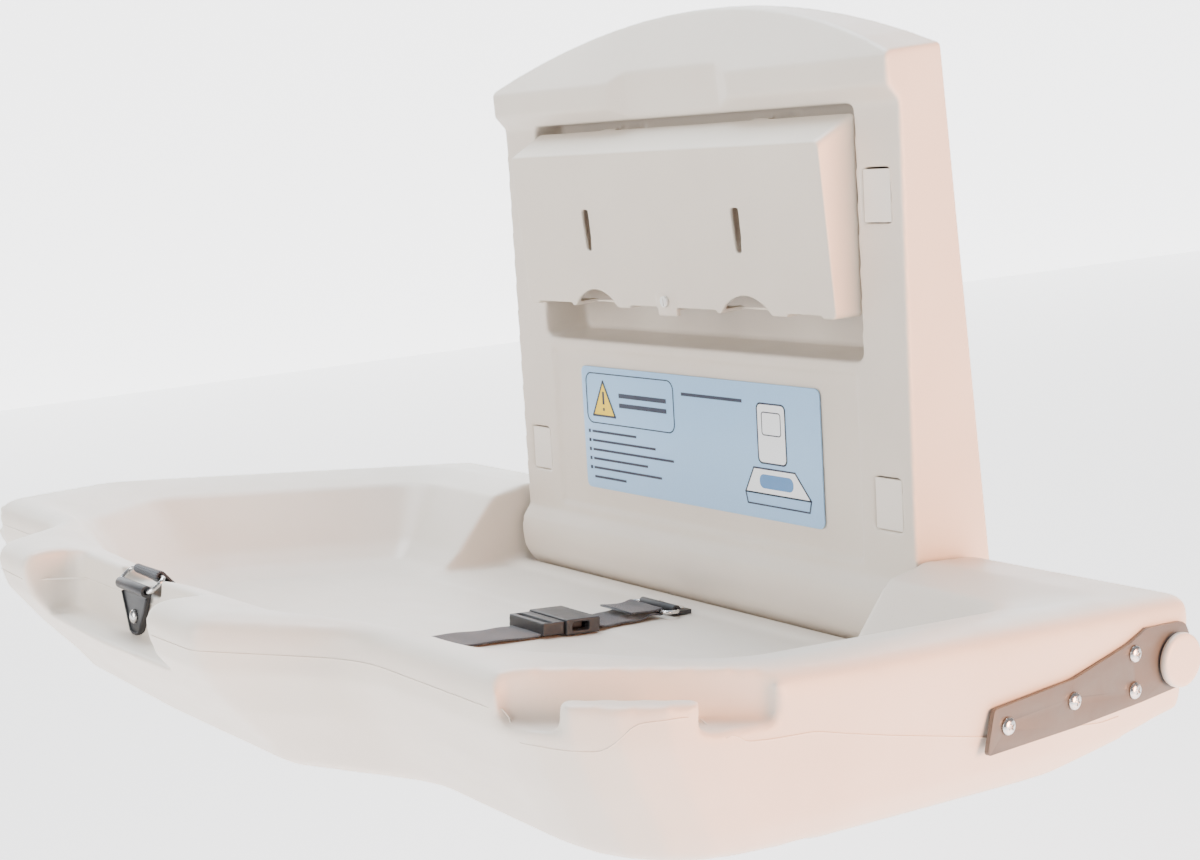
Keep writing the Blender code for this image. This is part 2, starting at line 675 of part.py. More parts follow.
def symmetric_radii(radii, inset):
    """Radii for both halves, the concave fourth one growing as the outline shrinks."""
    right = [max(r - inset, 2 * MM) if i != 3 else r + inset for i, r in enumerate(radii)]
    return right + list(reversed(right[:-1]))


def tray_ring(corners, radii, inset, height):
    outline = rounded(offset(corners, -inset), symmetric_radii(radii, inset))
    return [(x, -v, height) for x, v in outline]


def tray_outside(name, grow):
    """The tray's outer form, shrunk by -grow for its inner core."""
    levels = [(TRAY_TOP, 0, 15), (TRAY_TOP - 1.5 * MM, 0, 6.5), (TRAY_TOP - 6 * MM, 0, 1.2),
              (TRAY_TOP - 14 * MM, 0, 0), (5 * MM, 0.1, 0), (-20 * MM, 0.5, 1), (-42 * MM, 0.9, 3),
              (TRAY_BOTTOM + 6 * MM, 1, 8), (TRAY_BOTTOM, 1, 20)]
    rings = []
    for height, share, inset in levels:
        middle = (TRAY_TOP + TRAY_BOTTOM) / 2
        squeeze = 1 + 2 * grow / (TRAY_TOP - TRAY_BOTTOM)
        rings.append(tray_ring(outer_corners(share), OUTER_RADII, inset * MM - grow,
                               middle + (height - middle) * squeeze))
    return loft(name, rings)


def bowl_crest():
    """Where the rim's inner slope turns down into the bowl."""
    return both_sides([(342 * MM, 62 * MM), (366 * MM, 296 * MM), (276 * MM, 387 * MM), (232 * MM, 405 * MM),
                       (139 * MM, 430 * MM), (0, 438 * MM)])


def bowl_top():
    """Where the rim's flat top ends, parallel to the outside but straight across the corners."""
    return both_sides([(384 * MM, 26 * MM), (411 * MM, 318 * MM), (330 * MM, 412 * MM), (236 * MM, 414 * MM),
                       (150 * MM, 462 * MM), (0, 476 * MM)])


BOWL_RADII = [30 * MM, 60 * MM, 60 * MM, 120 * MM, 120 * MM, 500 * MM]


def bowl_ring(share, inset, height):
    right = [max(r - inset * 0.5, 10 * MM) for r in BOWL_RADII]
    radii = right + list(reversed(right[:-1]))
    outline = rounded(offset(blend(bowl_top(), bowl_crest(), share), -inset), radii)
    return [(x, -v, height) for x, v in outline]


# height, share of the way from the rim's top outline to the crest, and inset in millimetres
BOWL_LEVELS = [(TRAY_TOP + 30 * MM, 0, 0), (TRAY_TOP + 0.5 * MM, 0, 0), (31 * MM, 0.55, 0), (26 * MM, 1, 0),
               (5 * MM, 1, 16), (-18 * MM, 1, 33), (-30 * MM, 1, 46), (TRAY_FLOOR, 1, 64)]


def bowl_space(name, grow):
    """The space inside the bowl, grown by grow all round."""
    rings = [bowl_ring(share, inset * MM - grow, height - grow) for height, share, inset in BOWL_LEVELS]
    return loft(name, rings)


def ramp_height(v):
    """The bowl floor's height over the hinge line where it rises gently towards the roll."""
    share = (v - RAMP_V) / (RAMP_END_V - RAMP_V)
    return RAMP_TOP + share * (TRAY_FLOOR - RAMP_TOP)


def slot_space(name, grow):
    """The room for the body between the wings: open behind, round about the roll, open over the floor."""
    half = BODY_HALF + BODY_GAP + grow
    radius = ROLL_R + ROLL_GAP + grow
    made = rod(name, radius, -half, half, 48)
    ridge = RIDGE_TOP - grow
    forward = math.sqrt(radius ** 2 - ridge ** 2)
    end = RAMP_END_V + 6 * MM
    over = [(0.08, TRAY_BOTTOM - 0.02), (SLOT_BACK - grow, TRAY_BOTTOM - 0.02), (SLOT_BACK - grow, 0),
            (-forward + 0.5 * MM, ridge), (-RIDGE_V, ridge - 1 * MM), (-RAMP_V, RAMP_TOP - grow),
            (-end, ramp_height(end) - grow), (-end, 0.08), (0.08, 0.08)]
    return join(made, prism("over", over, -half, half, "yz"))


def hook_frame():
    """The corner chord's middle, its direction and its outward normal, on the right side."""
    start = Vector((424 * MM, 312 * MM))
    end = Vector((352 * MM, 427 * MM))
    along = (end - start).normalized()
    return (start + end) / 2, along, Vector((along.y, -along.x)), (end - start).length / 2


def hook_prism(name, along_span, out_span, low, high, side, radius=4 * MM):
    """A block on the corner chord: along it, outwards from it, and between two heights."""
    middle, along, normal, _ = hook_frame()
    corners = [(along_span[0], out_span[0]), (along_span[1], out_span[0]), (along_span[1], out_span[1]),
               (along_span[0], out_span[1])]
    outline = rounded(corners, [radius] * 4, 3)
    points = [middle + along * a + normal * o for a, o in outline]
    return prism(name, [(side * p.x, -p.y) for p in points], low, high, "xy")


def hook_space(side, grow):
    """A bag hook's notch: all that lies outside the chord and over its floor, but for the tab."""
    _, _, _, half = hook_frame()
    reach = half - 2 * MM + grow
    space = hook_prism("hook_space", (-reach, reach), (-grow, 0.09), HOOK_FLOOR - grow, 0.09, side)
    tab = hook_prism("hook_tab", (HOOK_TAB_REAR + grow, HOOK_TAB_FRONT - grow), (HOOK_SLOT + grow, 0.1), -0.05,
                     HOOK_TAB_TOP - grow, side)
    return cut(space, tab)


def recess_space(grow):
    half = RECESS_HALF + grow
    corners = [(half, RECESS_V - grow), (half, NOSE_MID_V + 0.05), (-half, NOSE_MID_V + 0.05),
               (-half, RECESS_V - grow)]
    outline = rounded(corners, [14 * MM, 2 * MM, 2 * MM, 14 * MM], 4)
    return prism("recess", [(x, -v) for x, v in outline], RECESS_FLOOR - grow, 0.09, "xy")


def belt_notch(grow):
    """The belt's shallow way over the rim's middle."""
    start = bowl_crest()[5][1] - 6 * MM
    outline = [(-start + grow, BELT_NOTCH_FLOOR - 2 * MM - grow), (-start + grow, 0.06),
               (-NOSE_MID_V - 0.05, 0.06), (-NOSE_MID_V - 0.05, BELT_NOTCH_FLOOR + 1 * MM - grow)]
    return prism("belt_notch", outline, -BELT_NOTCH_HALF - grow, BELT_NOTCH_HALF + grow, "yz")


def foot_groove(v, grow):
    long, deep = FOOT_GROOVE
    outline = [(-v - long / 2 - grow, -0.1), (-v - long / 2 - grow, TRAY_BOTTOM + deep + grow),
               (-v + long / 2 + grow, TRAY_BOTTOM + deep + grow), (-v + long / 2 + grow, -0.1)]
    return prism("foot_groove", outline, -0.6, 0.6, "yz")


def wing_relief(side, grow):
    """The wedge under a wing, where the underside rises towards the hinge."""
    outline = [(0.09, -28 * MM + grow), (-WING_BACK, -31 * MM + grow), (-98 * MM + grow, -56 * MM + grow),
               (-104 * MM + grow, -0.1), (0.09, -0.1)]
    low, high = sorted((side * (BODY_HALF + BODY_GAP - 0.002 - grow), side * 0.5))
    return prism("relief", outline, low, high, "yz")


def make_tray_shell(pivot):
    shell = tray_outside("tray_shell", 0)
    core = tray_outside("tray_core", -TRAY_WALL)
    cut(core, bowl_space("core_bowl", TRAY_WALL), slot_space("core_slot", TRAY_WALL), recess_space(TRAY_WALL))
    cut(core, belt_notch(TRAY_WALL))
    for v in FOOT_GROOVES_V:
        cut(core, foot_groove(v, TRAY_WALL))
    for side in (-1, 1):
        cut(core, hook_space(side, TRAY_WALL), wing_relief(side, TRAY_WALL))
    cut(shell, core)
    cut(shell, bowl_space("bowl", 0), slot_space("slot", 0), recess_space(0), belt_notch(0))
    for v in FOOT_GROOVES_V:
        cut(shell, foot_groove(v, 0))
    for side in (-1, 1):
        cut(shell, hook_space(side, 0), wing_relief(side, 0))
        low, high = sorted((side * 0.2, side * 0.46))
        cut(shell, rod("pin_bore", PIN_R + SEAT, low, high, 24))
        for v in (150 * MM, 330 * MM):
            cut(shell, rod("vent", 4 * MM, TRAY_BOTTOM - 0.01, TRAY_BOTTOM + 8 * MM, 16, "z",
                           (side * 0.2, -v)))
    return place(shell, pivot, CREAM)


def side_angle():
    return math.atan2(WIDE_HALF - REAR_HALF, WIDE_V - WING_BACK)


def side_x(v):
    return REAR_HALF + (v - WING_BACK) * math.tan(side_angle())


def make_hinge_plates(pivot):
    corners = [(168, -30), (163, -6), (95, 1), (45, 14), (28, 21), (-9, 21), (-19, 4), (-14, -16), (32, -21),
               (92, -26)]
    radii = [2, 3, 40, 40, 8, 9, 9, 9, 60, 90]
    spots = [(152 * MM, -16 * MM), (95 * MM, -11 * MM), (40 * MM, 8 * MM), (39 * MM, -13 * MM)]
    gap = SEAT
    for side, name in ((-1, "left"), (1, "right")):
        outline = rounded([(v * MM, h * MM) for v, h in corners], [r * MM for r in radii], 4)
        plate = prism("plate", [(-v, h) for v, h in outline], gap, gap + PLATE_THICK, "yz")
        cut(plate, rod("plate_hole", PIN_R + SEAT, -0.02, 0.02, 24))
        pieces = [(plate, "hinge_plate", TAUPE)]
        for number, (v, h) in enumerate(spots, 1):
            cut(plate, rod("screw_hole", 2.2 * MM + RUN, -0.02, 0.02, 16, "x", (-v, h)))
            under_head = gap + PLATE_THICK + SEAT
            screw = rod("screw", SCREW_R, under_head, under_head + 2.4 * MM, 16, "x", (-v, h), SCREW_R * 0.45)
            join(screw, rod("screw_shank", 2.2 * MM, gap + 0.2 * MM, gap + PLATE_THICK + 1 * MM, 16, "x",
                            (-v, h)))
            pieces.append((screw, f"plate_screw_{number}", TAUPE))
        for piece, label, skin in pieces:
            turned(piece, side_angle(), "Z")
            moved(piece, (side_x(0), 0, 0))
            if side < 0:
                mirrored(piece)
            piece.name = f"{label}_{name}"
            place(piece, pivot, skin)


def make_hinge_pins(pivot):
    """Pins, caps, damper rotors and stop arms, all turning with the tray."""
    face = side_x(0) + SEAT + PLATE_THICK
    for side, name in ((-1, "left"), (1, "right")):
        inner = EAR_X - DAMPER_LONG + 5 * MM
        pin = rod("pin", PIN_R, inner, face + 3.5 * MM, 28)
        cap = rod("cap", CAP_R, face + 2.6 * MM, face + 2.6 * MM + CAP_PROUD, 32, "x", (0, 0), CAP_R - 1.2 * MM)
        cut(cap, rod("inside", PIN_R + 1 * MM, face, face + 5 * MM, 24))
        rotor = rod("rotor", ROTOR_R, inner + 1 * MM, EAR_X - 8 * MM, 28)
        for angle in (0.4, 0.4 + math.pi):
            vane = box("vane", (inner + 1.5 * MM, -1.5 * MM, 4 * MM), (EAR_X - 8.5 * MM, 1.5 * MM, 16 * MM))
            join(rotor, turned(vane, angle, "X"))
        cut(rotor, rod("hole", PIN_R + SEAT, inner - 0.01, EAR_X, 28))
        arm_x = EAR_X + EAR_THICK + SEAT + 2.2 * MM
        arm = rod("arm", PIN_R + 6 * MM, arm_x, arm_x + STOP_ARM_THICK, 28)
        join(arm, box("arm_bar", (arm_x, 0, -STOP_ARM_HALF),
                      (arm_x + STOP_ARM_THICK, STOP_ARM_LONG, STOP_ARM_HALF)))
        cut(arm, rod("arm_hole", PIN_R + SEAT, arm_x - 0.01, arm_x + 0.02, 28))
        turned(arm, REST_TILT, "X")
        for piece, label, skin in ((pin, "hinge_pin", ZINC), (cap, "hinge_cap", CREAM),
                                   (rotor, "damper_rotor", ACETAL), (arm, "stop_arm", ZINC)):
            if side < 0:
                mirrored(piece)
            piece.name = f"{label}_{name}"
            place(piece, pivot, skin)


# ---------------------------------------------------------------- safety belt
def lifted(path, distance):
    """A path of (v, h) points moved to its upper side."""
    made = []
    for i, (v, h) in enumerate(path):
        ends = [Vector(path[min(max(i + k, 0), len(path) - 1)]) for k in (-1, 1)]
        along = (ends[1] - ends[0]).normalized()
        made.append((v - along.y * distance, h + along.x * distance))
    return made


def ribbon(name, path, half, thick, pivot, skin):
    """Webbing of one width, its underside along a path of (v, h) points."""
    count = len(path)
    rings = []
    for i, (v, h) in enumerate(path):
        before = Vector(path[max(i - 1, 0)])
        after = Vector(path[min(i + 1, count - 1)])
        along = (after - before).normalized()
        up = Vector((-along.y, along.x))
        rings.append([(-half, -v, h), (half, -v, h), (half, -(v + up.x * thick), h + up.y * thick),
                      (-half, -(v + up.x * thick), h + up.y * thick)])
    return place(loft(name, rings), pivot, skin)


def wire_ring(name, pivot, lean):
    """A rectangular wire ring: one bar on its pivot's axis, the other RING_REACH away at the lean."""
    corners = [(RING_HALF, 0), (RING_HALF, -RING_REACH), (-RING_HALF, -RING_REACH), (-RING_HALF, 0)]
    points = rounded(corners, [RING_CORNER_R] * 4, 3)
    curve = bpy.data.curves.new(name, "CURVE")
    curve.dimensions = "3D"
    curve.bevel_depth = RING_WIRE_R
    curve.bevel_resolution = 2
    spline = curve.splines.new("POLY")
    spline.points.add(len(points) - 1)
    spline.use_cyclic_u = True
    for point, (x, y) in zip(spline.points, points):
        point.co = (x, y, 0, 1)
    wire = bpy.data.objects.new(name, curve)
    CUTTERS.objects.link(wire)
    bpy.context.view_layer.update()
    mesh = bpy.data.meshes.new_from_object(wire.evaluated_get(bpy.context.evaluated_depsgraph_get()))
    bpy.data.objects.remove(wire)
    ring = bpy.data.objects.new(name, mesh)
    CUTTERS.objects.link(ring)
    return place(turned(ring, -lean, "X"), pivot, ZINC)


def sleeve(name, v, h):
    """The eye that a ring's bar turns in."""
    eye = rod(name, SLEEVE_R, -SLEEVE_HALF, SLEEVE_HALF, 24, "x", (-v, h))
    return cut(eye, rod("eye_hole", RING_WIRE_R + RUN, -SLEEVE_HALF - MM, SLEEVE_HALF + MM, 20, "x", (-v, h)))


def make_rear_anchor(pivot):
    """A plate on the bowl's floor with two rivets, an eye along its front edge and a ring in the eye."""
    base = rear_ring_place()[1] - SLEEVE_R
    plate = box("rear_anchor", (-SLEEVE_HALF, -ANCHOR_V - ANCHOR_LONG - SLEEVE_R * 0.3, base),
                (SLEEVE_HALF, -ANCHOR_V, base + ANCHOR_THICK))
    v, h = rear_ring_place()
    cut(plate, rod("eye_way", SLEEVE_R - 0.5 * MM, -0.1, 0.1, 24, "x", (-v, h)))
    place(join(plate, sleeve("rear_eye", v, h)), pivot, BLACK)
    for side, name in ((-1, "left"), (1, "right")):
        top = base + ANCHOR_THICK + SEAT
        rivet = rod(f"anchor_rivet_{name}", 4 * MM, top, top + 1.4 * MM, 16, "z",
                    (side * 12 * MM, -ANCHOR_V - ANCHOR_LONG * 0.48), 2.4 * MM)
        place(rivet, pivot, ZINC)


def rear_ring_place():
    v = ANCHOR_V + ANCHOR_LONG + SLEEVE_R
    return v, ramp_height(ANCHOR_V) + SEAT + SLEEVE_R


def front_ring_place():
    return RECESS_V + SEAT + SLEEVE_R, FRONT_ANCHOR_TOP


def make_front_anchor(pivot):
    """A tapered plate on the recess wall, held by one screw, with an eye along its top for the front ring."""
    wall = RECESS_V + SEAT
    v, h = front_ring_place()
    corners = [(-SLEEVE_HALF, h), (-7 * MM, FRONT_ANCHOR_LOW), (7 * MM, FRONT_ANCHOR_LOW), (SLEEVE_HALF, h)]
    plate = prism("front_anchor", rounded(corners, [1 * MM, 6 * MM, 6 * MM, 1 * MM], 4),
                  -wall - ANCHOR_THICK, -wall, "xz")
    cut(plate, rod("eye_way", SLEEVE_R - 0.5 * MM, -0.1, 0.1, 24, "x", (-v, h)))
    place(join(plate, sleeve("front_eye", v, h)), pivot, BLACK)
    face = wall + ANCHOR_THICK + SEAT
    screw = rod("anchor_screw", 4.5 * MM, -face - 2.2 * MM, -face, 16, "y", (0, FRONT_ANCHOR_LOW + 11 * MM))
    place(screw, pivot, ZINC)


def make_buckle(pivot):
    low = ramp_height(BUCKLE_V) + SEAT
    end = BUCKLE_V + BUCKLE_LONG
    socket = box("buckle_socket", (-24 * MM, -end, low), (24 * MM, -BUCKLE_V, low + 11 * MM))
    cut(socket, box("mouth", (-19 * MM, -end - 0.01, low + 2.5 * MM),
                    (19 * MM, -BUCKLE_V - 7 * MM, low + 8.5 * MM)))
    place(socket, pivot, BLACK)
    plug = box("buckle_plug", (-22 * MM, -end - BUCKLE_PLUG_LONG, low + 1 * MM),
               (22 * MM, -end - SEAT, low + 10 * MM))
    for x in (-14 * MM, 0, 14 * MM):
        join(plug, box("prong", (x - 3 * MM, -end - 2 * MM, low + 3.2 * MM),
                       (x + 3 * MM, -end + 18 * MM, low + 7.8 * MM)))
    place(plug, pivot, BLACK)


def make_straps(pivot):
    start = rear_ring_place()[0] + RING_REACH + RING_WIRE_R + SEAT
    ribbon("strap_rear", [(start, ramp_height(start) + SEAT), (BUCKLE_V - SEAT, ramp_height(BUCKLE_V) + SEAT)],
           STRAP_HALF, STRAP_THICK, pivot, WEBBING)
    crest = bowl_crest()[5][1]
    front = [(BUCKLE_V + BUCKLE_LONG + BUCKLE_PLUG_LONG + SEAT, TRAY_FLOOR)]
    front += [(crest - inset * MM, height) for height, _, inset in reversed(BOWL_LEVELS[4:])]
    front += [(crest - 6 * MM, BELT_NOTCH_FLOOR - 2 * MM)]
    front = lifted(front, 1.9 * MM)
    front[0] = (front[0][0], TRAY_FLOOR + SEAT)
    v, h = front_ring_place()
    bar = (v - RING_REACH * math.sin(RING_LEAN), h + RING_REACH * math.cos(RING_LEAN))
    front.append((bar[0] - RING_WIRE_R - SEAT, bar[1] - STRAP_THICK / 2))
    ribbon("strap_front", front, STRAP_HALF, STRAP_THICK, pivot, WEBBING)


# ---------------------------------------------------------------- assembly
def main():
    wall_unit = empty("wall_unit", (0, 0, 0))
    tray_pivot = empty("tray_pivot", HINGE, wall_unit, -REST_TILT)
    cover_pivot = empty("cover_pivot", (0, -COVER_AXIS_OUT, HINGE_Z + COVER_AXIS_UP), wall_unit)
    latch_at = Vector((0, -COVER_OUT - TAB_PROUD, HINGE_Z + COVER_LOW_UP + LATCH_RISE))
    latch_pivot = empty("latch_pivot", latch_at - cover_pivot.location, cover_pivot)
    bpy.context.view_layer.update()
    make_wall_body(wall_unit)
    make_back_frame(wall_unit)
    make_bolts(wall_unit)
    make_plugs(wall_unit)
    make_label(wall_unit)
    make_cover_pins(wall_unit)
    make_dampers(wall_unit)
    make_cover(wall_unit, cover_pivot)
    make_latch(latch_pivot)
    make_tray_shell(tray_pivot)
    make_hinge_plates(tray_pivot)
    make_hinge_pins(tray_pivot)
    make_rear_anchor(tray_pivot)
    make_front_anchor(tray_pivot)
    make_buckle(tray_pivot)
    make_straps(tray_pivot)
    for name, spot, lean in (("rear_ring", rear_ring_place(), 0),
                             ("front_ring", front_ring_place(), math.pi / 2 + RING_LEAN)):
        ring_pivot = empty(name + "_pivot", (0, -spot[0], spot[1]), tray_pivot)
        wire_ring(name, ring_pivot, lean)


main()
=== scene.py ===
"""The looks of a wall-mounted, fold-down baby changing station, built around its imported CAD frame.

Metres; X is the viewer's right when facing the wall, +Y runs into the wall, +Z is up. Tray pieces are
placed with the TRAY matrix, whose own axes are x along the hinge, y backwards from it and z up from it.
Moulded pieces are the CAD shapes remeshed and relaxed, so that every edge has its moulded rounding.
"""

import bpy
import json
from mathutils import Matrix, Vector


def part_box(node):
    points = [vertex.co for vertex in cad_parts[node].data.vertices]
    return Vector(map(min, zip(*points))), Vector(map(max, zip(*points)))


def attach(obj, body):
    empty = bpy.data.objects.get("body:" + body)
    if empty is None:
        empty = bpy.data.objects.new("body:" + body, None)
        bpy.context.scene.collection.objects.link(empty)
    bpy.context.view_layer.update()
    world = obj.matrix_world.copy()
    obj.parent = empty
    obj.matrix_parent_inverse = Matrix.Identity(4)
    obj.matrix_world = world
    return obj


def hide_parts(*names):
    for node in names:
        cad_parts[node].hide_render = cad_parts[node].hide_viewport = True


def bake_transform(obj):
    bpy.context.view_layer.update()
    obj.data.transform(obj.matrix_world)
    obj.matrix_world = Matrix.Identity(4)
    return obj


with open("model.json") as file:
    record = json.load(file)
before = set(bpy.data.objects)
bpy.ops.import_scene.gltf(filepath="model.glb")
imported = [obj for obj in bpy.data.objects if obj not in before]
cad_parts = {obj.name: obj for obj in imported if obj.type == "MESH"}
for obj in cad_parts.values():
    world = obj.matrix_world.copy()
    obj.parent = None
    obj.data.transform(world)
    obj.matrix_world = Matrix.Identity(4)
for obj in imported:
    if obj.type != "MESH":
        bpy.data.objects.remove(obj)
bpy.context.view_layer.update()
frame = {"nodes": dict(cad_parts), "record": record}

import json
import math

import bmesh
import bpy
from mathutils import Matrix, Vector
from mathutils.bvhtree import BVHTree

MM = 0.001
JOINTS = {joint["name"]: joint for joint in frame["record"]["behaviour"]["joints"]}
HINGE = Vector(JOINTS["tray_fold"]["pos_m"])
REST_TILT = math.radians(9.8)
TRAY = Matrix.Translation(HINGE) @ Matrix.Rotation(-REST_TILT, 4, "X")
FACE_LEAN = math.radians(4.97)
WING_SLANT = math.atan2(26.5, 294)      # each side wall turns outwards by this, from rear to front

label_low, label_high = (Vector(corner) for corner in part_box("label_plate"))
LABEL = Matrix.Translation((label_low + label_high) / 2) @ Matrix.Rotation(-FACE_LEAN, 4, "X")

PIECES = bpy.data.collections.new("pieces")
bpy.context.scene.collection.children.link(PIECES)


# ---------------------------------------------------------------- materials
class Nodes:
    """Short names for building a material's node tree."""

    def __init__(self, name):
        self.material = bpy.data.materials.new(name)
        self.material.use_nodes = True
        self.tree = self.material.node_tree
        self.shader = self.tree.nodes["Principled BSDF"]
        self.coords = self.tree.nodes.new("ShaderNodeTexCoord").outputs["Object"]

    def add(self, kind, **values):
        node = self.tree.nodes.new("ShaderNode" + kind)
        for key, value in values.items():
            setattr(node, key, value)
        return node

    def link(self, source, target):
        self.tree.links.new(source, target)

    def noise(self, size, detail=3.0, stretch=None, rough=0.55):
        """Noise whose blotches are about size across."""
        node = self.add("TexNoise")
        node.inputs["Scale"].default_value = 1 / size
        node.inputs["Detail"].default_value = detail
        node.inputs["Roughness"].default_value = rough
        source = self.coords
        if stretch:
            mapping = self.add("Mapping")
            mapping.inputs["Scale"].default_value = stretch
            self.link(source, mapping.inputs["Vector"])
            source = mapping.outputs["Vector"]
        self.link(source, node.inputs["Vector"])
        return node.outputs["Fac"]

    def spread(self, source, low, high, to_low=0.0, to_high=1.0):
        node = self.add("MapRange")
        for key, value in (("From Min", low), ("From Max", high), ("To Min", to_low), ("To Max", to_high)):
            node.inputs[key].default_value = value
        self.link(source, node.inputs["Value"])
        return node.outputs["Result"]

    def maths(self, operation, one, two):
        node = self.add("Math", operation=operation)
        for value, target in zip((one, two), node.inputs):
            if isinstance(value, (int, float)):
                target.default_value = value
            else:
                self.link(value, target)
        return node.outputs[0]

    def mix(self, factor, one, two):
        """A colour between two, each a colour or another node's output."""
        node = self.add("Mix", data_type="RGBA")
        self.link(factor, node.inputs["Factor"])
        for value, target in ((one, node.inputs["A"]), (two, node.inputs["B"])):
            targets = [s for s in node.inputs if s.name == target.name and s.type == "RGBA"]
            if isinstance(value, tuple):
                targets[0].default_value = (*value, 1)
            else:
                self.link(value, targets[0])
        return [s for s in node.outputs if s.type == "RGBA"][0]

    def bump(self, height, strength, distance, below=None):
        node = self.add("Bump")
        node.inputs["Strength"].default_value = strength
        node.inputs["Distance"].default_value = distance
        self.link(height, node.inputs["Height"])
        if below is not None:
            self.link(below, node.inputs["Normal"])
        return node.outputs["Normal"]

    def finish(self, colour=None, roughness=None, normal=None, **fixed):
        for name, source in (("Base Color", colour), ("Roughness", roughness), ("Normal", normal)):
            if source is not None:
                self.link(source, self.shader.inputs[name])
        for name, value in fixed.items():
            self.shader.inputs[name.replace("_", " ").title()].default_value = value
        return self.material


def moulded(name, base, shade, roughness, grain=0.7 * MM, grain_depth=0.35, wave=0.12):
    """Moulded polyethylene: fine pebble grain, slow waviness, a little soiling and a painted highlight that
    makes convex edges paler.
    """
    made = Nodes(name)
    blotches = made.spread(made.noise(110 * MM, 4), 0.35, 0.7)
    colour = made.mix(blotches, base, shade)
    specks = made.spread(made.noise(1.6 * MM, 1), 0.68, 0.8, 0, 0.25)
    colour = made.mix(specks, colour, tuple(c * 0.8 for c in shade))
    # painted highlight: convex edges are made paler, standing in for light catching the rounded edges
    painted_edge_highlight = made.spread(made.add("NewGeometry").outputs["Pointiness"], 0.515, 0.57, 0, 0.4)
    colour = made.mix(painted_edge_highlight, colour, tuple(min(c * 1.1, 0.95) for c in base))
    scuffs = made.spread(made.noise(30 * MM, 6, (1, 1, 5)), 0.4, 0.75, roughness - 0.05, roughness + 0.09)
    waves = made.bump(made.noise(26 * MM, 2), wave, 1.2 * MM)
    pebbles = made.bump(made.noise(grain, 2, None, 0.5), grain_depth, 0.12 * MM, waves)
    return made.finish(colour, scuffs, pebbles)


def metal(name, base, roughness, brush=(1, 1, 14), depth=0.18):
    made = Nodes(name)
    tarnish = made.spread(made.noise(7 * MM, 4), 0.35, 0.75)
    colour = made.mix(tarnish, base, tuple(c * 0.78 for c in base))
    lines = made.noise(2.2 * MM, 3, brush)
    rough = made.spread(lines, 0.3, 0.7, roughness - 0.07, roughness + 0.12)
    return made.finish(colour, rough, made.bump(lines, depth, 0.05 * MM), metallic=1.0)


def powder_coat(name, base, roughness):
    """Painted steel: a fine orange peel, with a painted highlight that makes its edges paler."""
    made = Nodes(name)
    cells = made.noise(1.1 * MM, 2)
    # painted highlight: the edges mask makes convex edges paler, standing in for light catching them
    edges = made.spread(made.add("NewGeometry").outputs["Pointiness"], 0.53, 0.6, 0, 0.55)
    colour = made.mix(made.spread(made.noise(35 * MM, 5), 0.35, 0.7), base, tuple(c * 1.25 for c in base))
    colour = made.mix(edges, colour, tuple(min(c * 2.2, 0.6) for c in base))
    rough = made.spread(made.noise(12 * MM, 5), 0.3, 0.7, roughness - 0.06, roughness + 0.1)
    return made.finish(colour, rough, made.bump(cells, 0.3, 0.1 * MM), metallic=0.25, coat_weight=0.15)


def printed(name, base, roughness=0.35):
    """Printed film: a faint screen of dots and a slightly uneven gloss."""
    made = Nodes(name)
    dots = made.add("TexVoronoi")
    dots.inputs["Scale"].default_value = 1 / (0.9 * MM)
    made.link(made.coords, dots.inputs["Vector"])
    screen = made.spread(dots.outputs["Distance"], 0.2, 0.6, 0, 0.35)
    colour = made.mix(screen, base, tuple(c * 0.88 for c in base))
    rough = made.spread(made.noise(20 * MM, 4), 0.3, 0.7, roughness - 0.06, roughness + 0.1)
    return made.finish(colour, rough, made.bump(made.noise(9 * MM, 3), 0.08, 0.2 * MM))


def webbing_material():
    """Woven webbing: crossed ridges from the weave attribute, with fuzz and faint faded patches."""
    made = Nodes("webbing_weave")
    weave = made.add("Attribute", attribute_name="weave").outputs["Vector"]
    heights = []
    for direction, pitch in (("X", 1.5 * MM), ("Y", 1.1 * MM)):
        wave = made.add("TexWave", bands_direction=direction, wave_profile="SIN")
        wave.inputs["Scale"].default_value = 0.314 / pitch
        wave.inputs["Distortion"].default_value = 0.6
        wave.inputs["Detail"].default_value = 1
        made.link(weave, wave.inputs["Vector"])
        heights.append(wave.outputs["Fac"])
    threads = made.maths("MULTIPLY", *heights)
    fuzz = made.noise(0.5 * MM, 2)
    colour = made.mix(made.spread(threads, 0, 0.9), (0.012, 0.014, 0.019), (0.040, 0.045, 0.058))
    colour = made.mix(made.spread(made.noise(18 * MM, 4), 0.45, 0.75, 0, 0.5), colour, (0.055, 0.06, 0.075))
    soft = made.bump(fuzz, 0.3, 0.15 * MM)
    normal = made.bump(threads, 0.9, 0.5 * MM, soft)
    made.shader.inputs["Sheen Weight"].default_value = 0.35
    made.shader.inputs["Sheen Roughness"].default_value = 0.5
    rough = made.spread(threads, 0, 1, 0.85, 0.65)
    return made.finish(colour, rough, normal)


CREAM = moulded("cream_polyethylene", (0.72, 0.655, 0.58), (0.68, 0.61, 0.535), 0.42)
COVER = moulded("cream_cover", (0.72, 0.65, 0.565), (0.68, 0.61, 0.53), 0.40, 0.6 * MM, 0.22, 0.05)
CAP = moulded("cream_cap", (0.74, 0.67, 0.595), (0.71, 0.64, 0.565), 0.35, 0.5 * MM, 0.12, 0.03)
PLUG = moulded("cream_plug", (0.80, 0.75, 0.69), (0.77, 0.72, 0.66), 0.38, 0.5 * MM, 0.12, 0.03)
NYLON = moulded("black_nylon_grain", (0.028, 0.029, 0.033), (0.020, 0.021, 0.024), 0.42, 0.6 * MM, 0.3, 0.05)
RUBBER = moulded("black_rubber_grain", (0.022, 0.022, 0.022), (0.03, 0.03, 0.03), 0.75, 0.8 * MM, 0.5)
ACETAL = moulded("white_acetal_grain", (0.80, 0.80, 0.77), (0.76, 0.76, 0.73), 0.33, 0.8 * MM, 0.06, 0.02)
ZINC = metal("zinc_plate", (0.62, 0.62, 0.64), 0.34)
